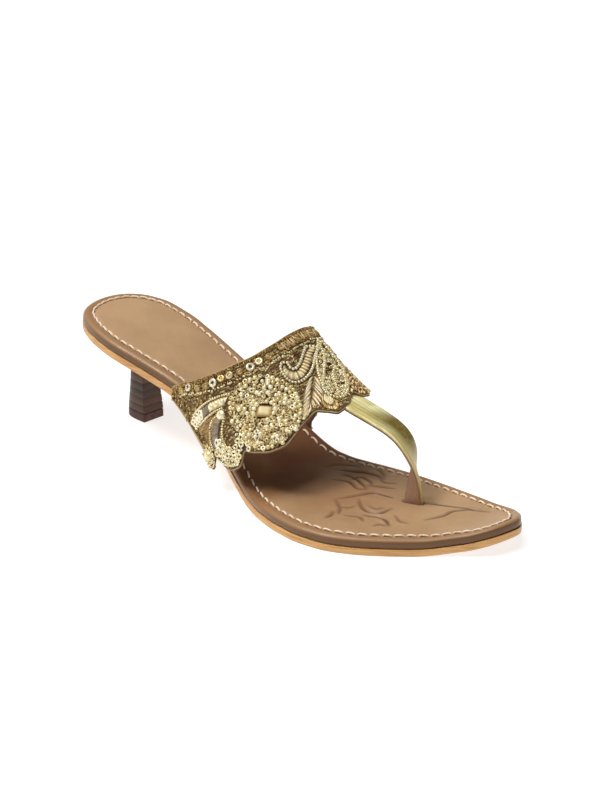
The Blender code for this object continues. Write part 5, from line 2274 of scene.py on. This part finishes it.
    def flap(self) -> None:
        """The small scallop beside the strap: silver threads inside a thick gold line."""
        path = spaced(flowing(self.own(FLAP), 10), 0.7)[0]
        top = self.own(((22.8, 16.6),))
        for name, low, high, tint in (
            ("bulb_threads", 0.06, 0.62, (0.4, 1.0)),
            ("flap_scallop", 0.60, 0.98, (0.1, 1.0)),
        ):
            starts, ends = top + (path - top) * low, top + (path - top) * high
            self.threads(name, starts, ends, 0.72, tint, 0.35)

    def lay_all(self) -> None:
        """Lays the whole pattern: the worked side, then a plainer echo on the inner side."""
        self.chain_field()
        self.border_lines()
        self.border_threads()
        self.border_sequins()
        self.medallion()
        self.leaf_one()
        self.leaf_two()
        self.fan()
        self.tassel()
        self.paisley()
        self.line("scroll_bead_line", SCROLL, 1.0, (0.3, 0.9))
        self.feather()
        self.cluster()
        self.flap()
        self.chart, self.side = Chart(self.chart.last, 124.0 * MM, 0.86), -1.0
        self.leaf_one()
        self.leaf_two()
        self.fan()

    def build(self) -> list[Piece]:
        """Makes one joined piece of each kind."""
        self.lay_all()
        motifs = {shape: make_motif(shape) for shape in dict.fromkeys(s for s, _ in self.laid.values())}
        return [
            Copies(*map(np.concatenate, zip(*parts))).build(name, motifs[shape])
            for name, (shape, parts) in self.laid.items()
        ]


@dataclass
class Stone:
    """The peach cushion stone in the middle of the medallion, in its gilt bezel."""

    chart: Chart
    length: float = 6.4 * MM
    width: float = 4.8 * MM
    height: float = 1.5 * MM
    way: tuple[float, float] = (0.38, 0.92)
    columns: int = 64

    def cushion(self, name: str, grow: float, rows: Line) -> Piece:
        """A rounded oblong turned up from rows of size and share of the height."""
        foot, normal, ahead = self.chart.face(*self.chart.find(((0.0, 0.0),)), 0.3 * MM)
        long = unit(ahead * self.way[1] + np.cross(normal, ahead) * self.way[0])
        short = np.cross(normal, long)
        table = np.array(rows)

        def shape(u: Array, row: Array) -> Array:
            """One vertex of the form."""
            out, up = table[row].T[:, :, None]
            turn = 2 * math.pi * u[:, None]
            cos, sin = np.cos(turn), np.sin(turn)
            squarish = (np.abs(cos) ** 7 + np.abs(sin) ** 7) ** (-1 / 7)
            x = (self.length / 2 * out + grow * (out > 0)) * cos * squarish
            y = (self.width / 2 * out + grow * (out > 0)) * sin * squarish
            return foot + x * long + y * short + up * self.height * normal

        return soften(sheet(name, self.columns, len(rows) - 1, shape, closed=True), 35.0)

    def build_stone(self) -> Piece:
        """The cut stone."""
        rows = [(0.0, 0.0), (0.95, 0.0), (1.0, 0.35), (0.97, 0.5), (0.86, 0.8), (0.74, 0.97)]
        return self.cushion("band_stone", 0.0, rows + [(0.6, 1.0), (0.0, 1.02)])

    def build_bezel(self) -> Piece:
        """The gilt bezel round its foot."""
        rows = [(0.8, -0.1), (1.06, -0.1), (1.08, 0.3), (1.03, 0.45), (0.98, 0.42), (0.97, 0.1)]
        return self.cushion("band_stone_bezel", 0.25 * MM, rows + rows[:1])


# Each thread: how much of a metal it is, its three tones, and the pieces laid in it.
THREADS = {
    "gilt_thread": (
        0.3, (96, 62, 26), (196, 158, 86), (255, 240, 176),
        "chain_stitches feather_ground flap_scallop edge_bead_line",
    ),
    "gold_thread": (
        0.2, (88, 60, 22), (164, 124, 58), (228, 192, 116), "gold_threads overcast_threads",
    ),
    "silver_thread": (0.25, (118, 104, 86), (162, 147, 126), (206, 194, 168), "silver_threads"),
    "tan_thread": (0.15, (134, 104, 60), (208, 172, 114), (250, 232, 178), "crown_satin"),
    "rose_gold_thread": (0.15, (176, 160, 84), (230, 206, 158), (255, 242, 230), "feather_threads"),
    "cream_thread": (
        0.1, (218, 196, 146), (240, 222, 174), (252, 240, 204), "paisley_rungs satin_threads",
    ),
    "grey_cream_thread": (0.1, (146, 120, 74), (220, 200, 148), (252, 240, 200), "bulb_threads"),
}
# Each glass: its metal, roughness and coat, its three tones, and the pieces made of it.
GLASSES = {
    "champagne_glass": (
        0.25, 0.16, 0.8, (142, 112, 54), (222, 196, 130), (255, 246, 208),
        "border_bead_line medallion_ring_beads medallion_gap_beads scroll_bead_line cluster_beads",
    ),
    "cream_glass": (
        0.25, 0.16, 0.8, (196, 170, 108), (240, 222, 164), (255, 247, 214),
        "sequin_beads medallion_round_beads leaf_bead_lines leaf_paillettes leaf_discs curl_beads "
        "curl_ring_beads paisley_bead_line",
    ),
    "gilt_sequin": (0.2, 0.25, 0.4, (136, 102, 46), (206, 174, 100), (255, 247, 218), "ring_sequins"),
    "peach_stone": (0.0, 0.42, 0.15, (206, 182, 124), (222, 202, 144), (234, 218, 164), "stone"),
}


def bead_finishes() -> dict[str, Material]:
    """The finish of each piece of the beading and of the stone, by name."""
    made = {}
    for name, (metal, *tones, pieces) in THREADS.items():
        made[pieces] = MetalThread(name, *(tone(*seen) for seen in tones), metal).make()
    for name, (metal, rough, coat, *tones, pieces) in GLASSES.items():
        made[pieces] = LinedGlass(name, *(tone(*seen) for seen in tones), metal, rough, coat).make()
    return {"band_" + piece: finish for pieces, finish in made.items() for piece in pieces.split()}


def main() -> None:
    """Builds the shoe piece by piece, then the studio."""
    for old in list(bpy.data.objects):
        bpy.data.objects.remove(old)
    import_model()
    logging.basicConfig(level=logging.INFO, format="%(message)s")
    last = Last().settle()
    plan = Plan(last)
    lining = LiningLeather().make()
    gold = GoldLeather().make()
    trim = GoldLeather("trim_leather", tone(182, 156, 100), tone(120, 98, 54)).make()

    dress(Outsole(plan).build(), SoleLeather().make(), "outsole_leather", "outsole")
    dress(Footbed(plan).build(), CoverLeather().make(), "insole_leather", "insole")
    dress(RimStitching(plan).build(), CottonThread().make(), "insole_leather")
    heel = Heel(last)
    dress(heel.build(), StackedLeather().make(), "heel_stack", "heel")
    dress(TopPiece(heel).build(), Rubber().make(), "top_piece_rubber", "heel_top_piece")

    band, slot = Band(last), "upper_gold"
    dress(band.build_cloth(), GroundCloth().make(), slot, "upper")
    dress(band.build_lining(), lining, slot)
    dress(band.build_back_cord(), trim, slot)
    dress(band.build_front_piping(), trim, slot)
    for turned_edge in band.build_turned_edges():
        dress(turned_edge, lining, slot)
    for hem in band.build_hems():
        dress(hem, trim, slot)

    thong = Thong(last)
    dress(thong.build_strap(), gold, slot)
    pale = LiningLeather("strap_lining_leather", tone(168, 130, 104), tone(134, 98, 76)).make()
    dress(thong.build_lining(), pale, slot)

    chart, finishes = Chart(last), bead_finishes()
    for piece in Beading(band, chart).build():
        dress(piece, finishes[piece.name], slot)
    stone = Stone(chart)
    dress(stone.build_stone(), finishes["band_stone"], slot)
    dress(stone.build_bezel(), trim, slot)

    Studio().build()


if __name__ == "__main__":
    main()
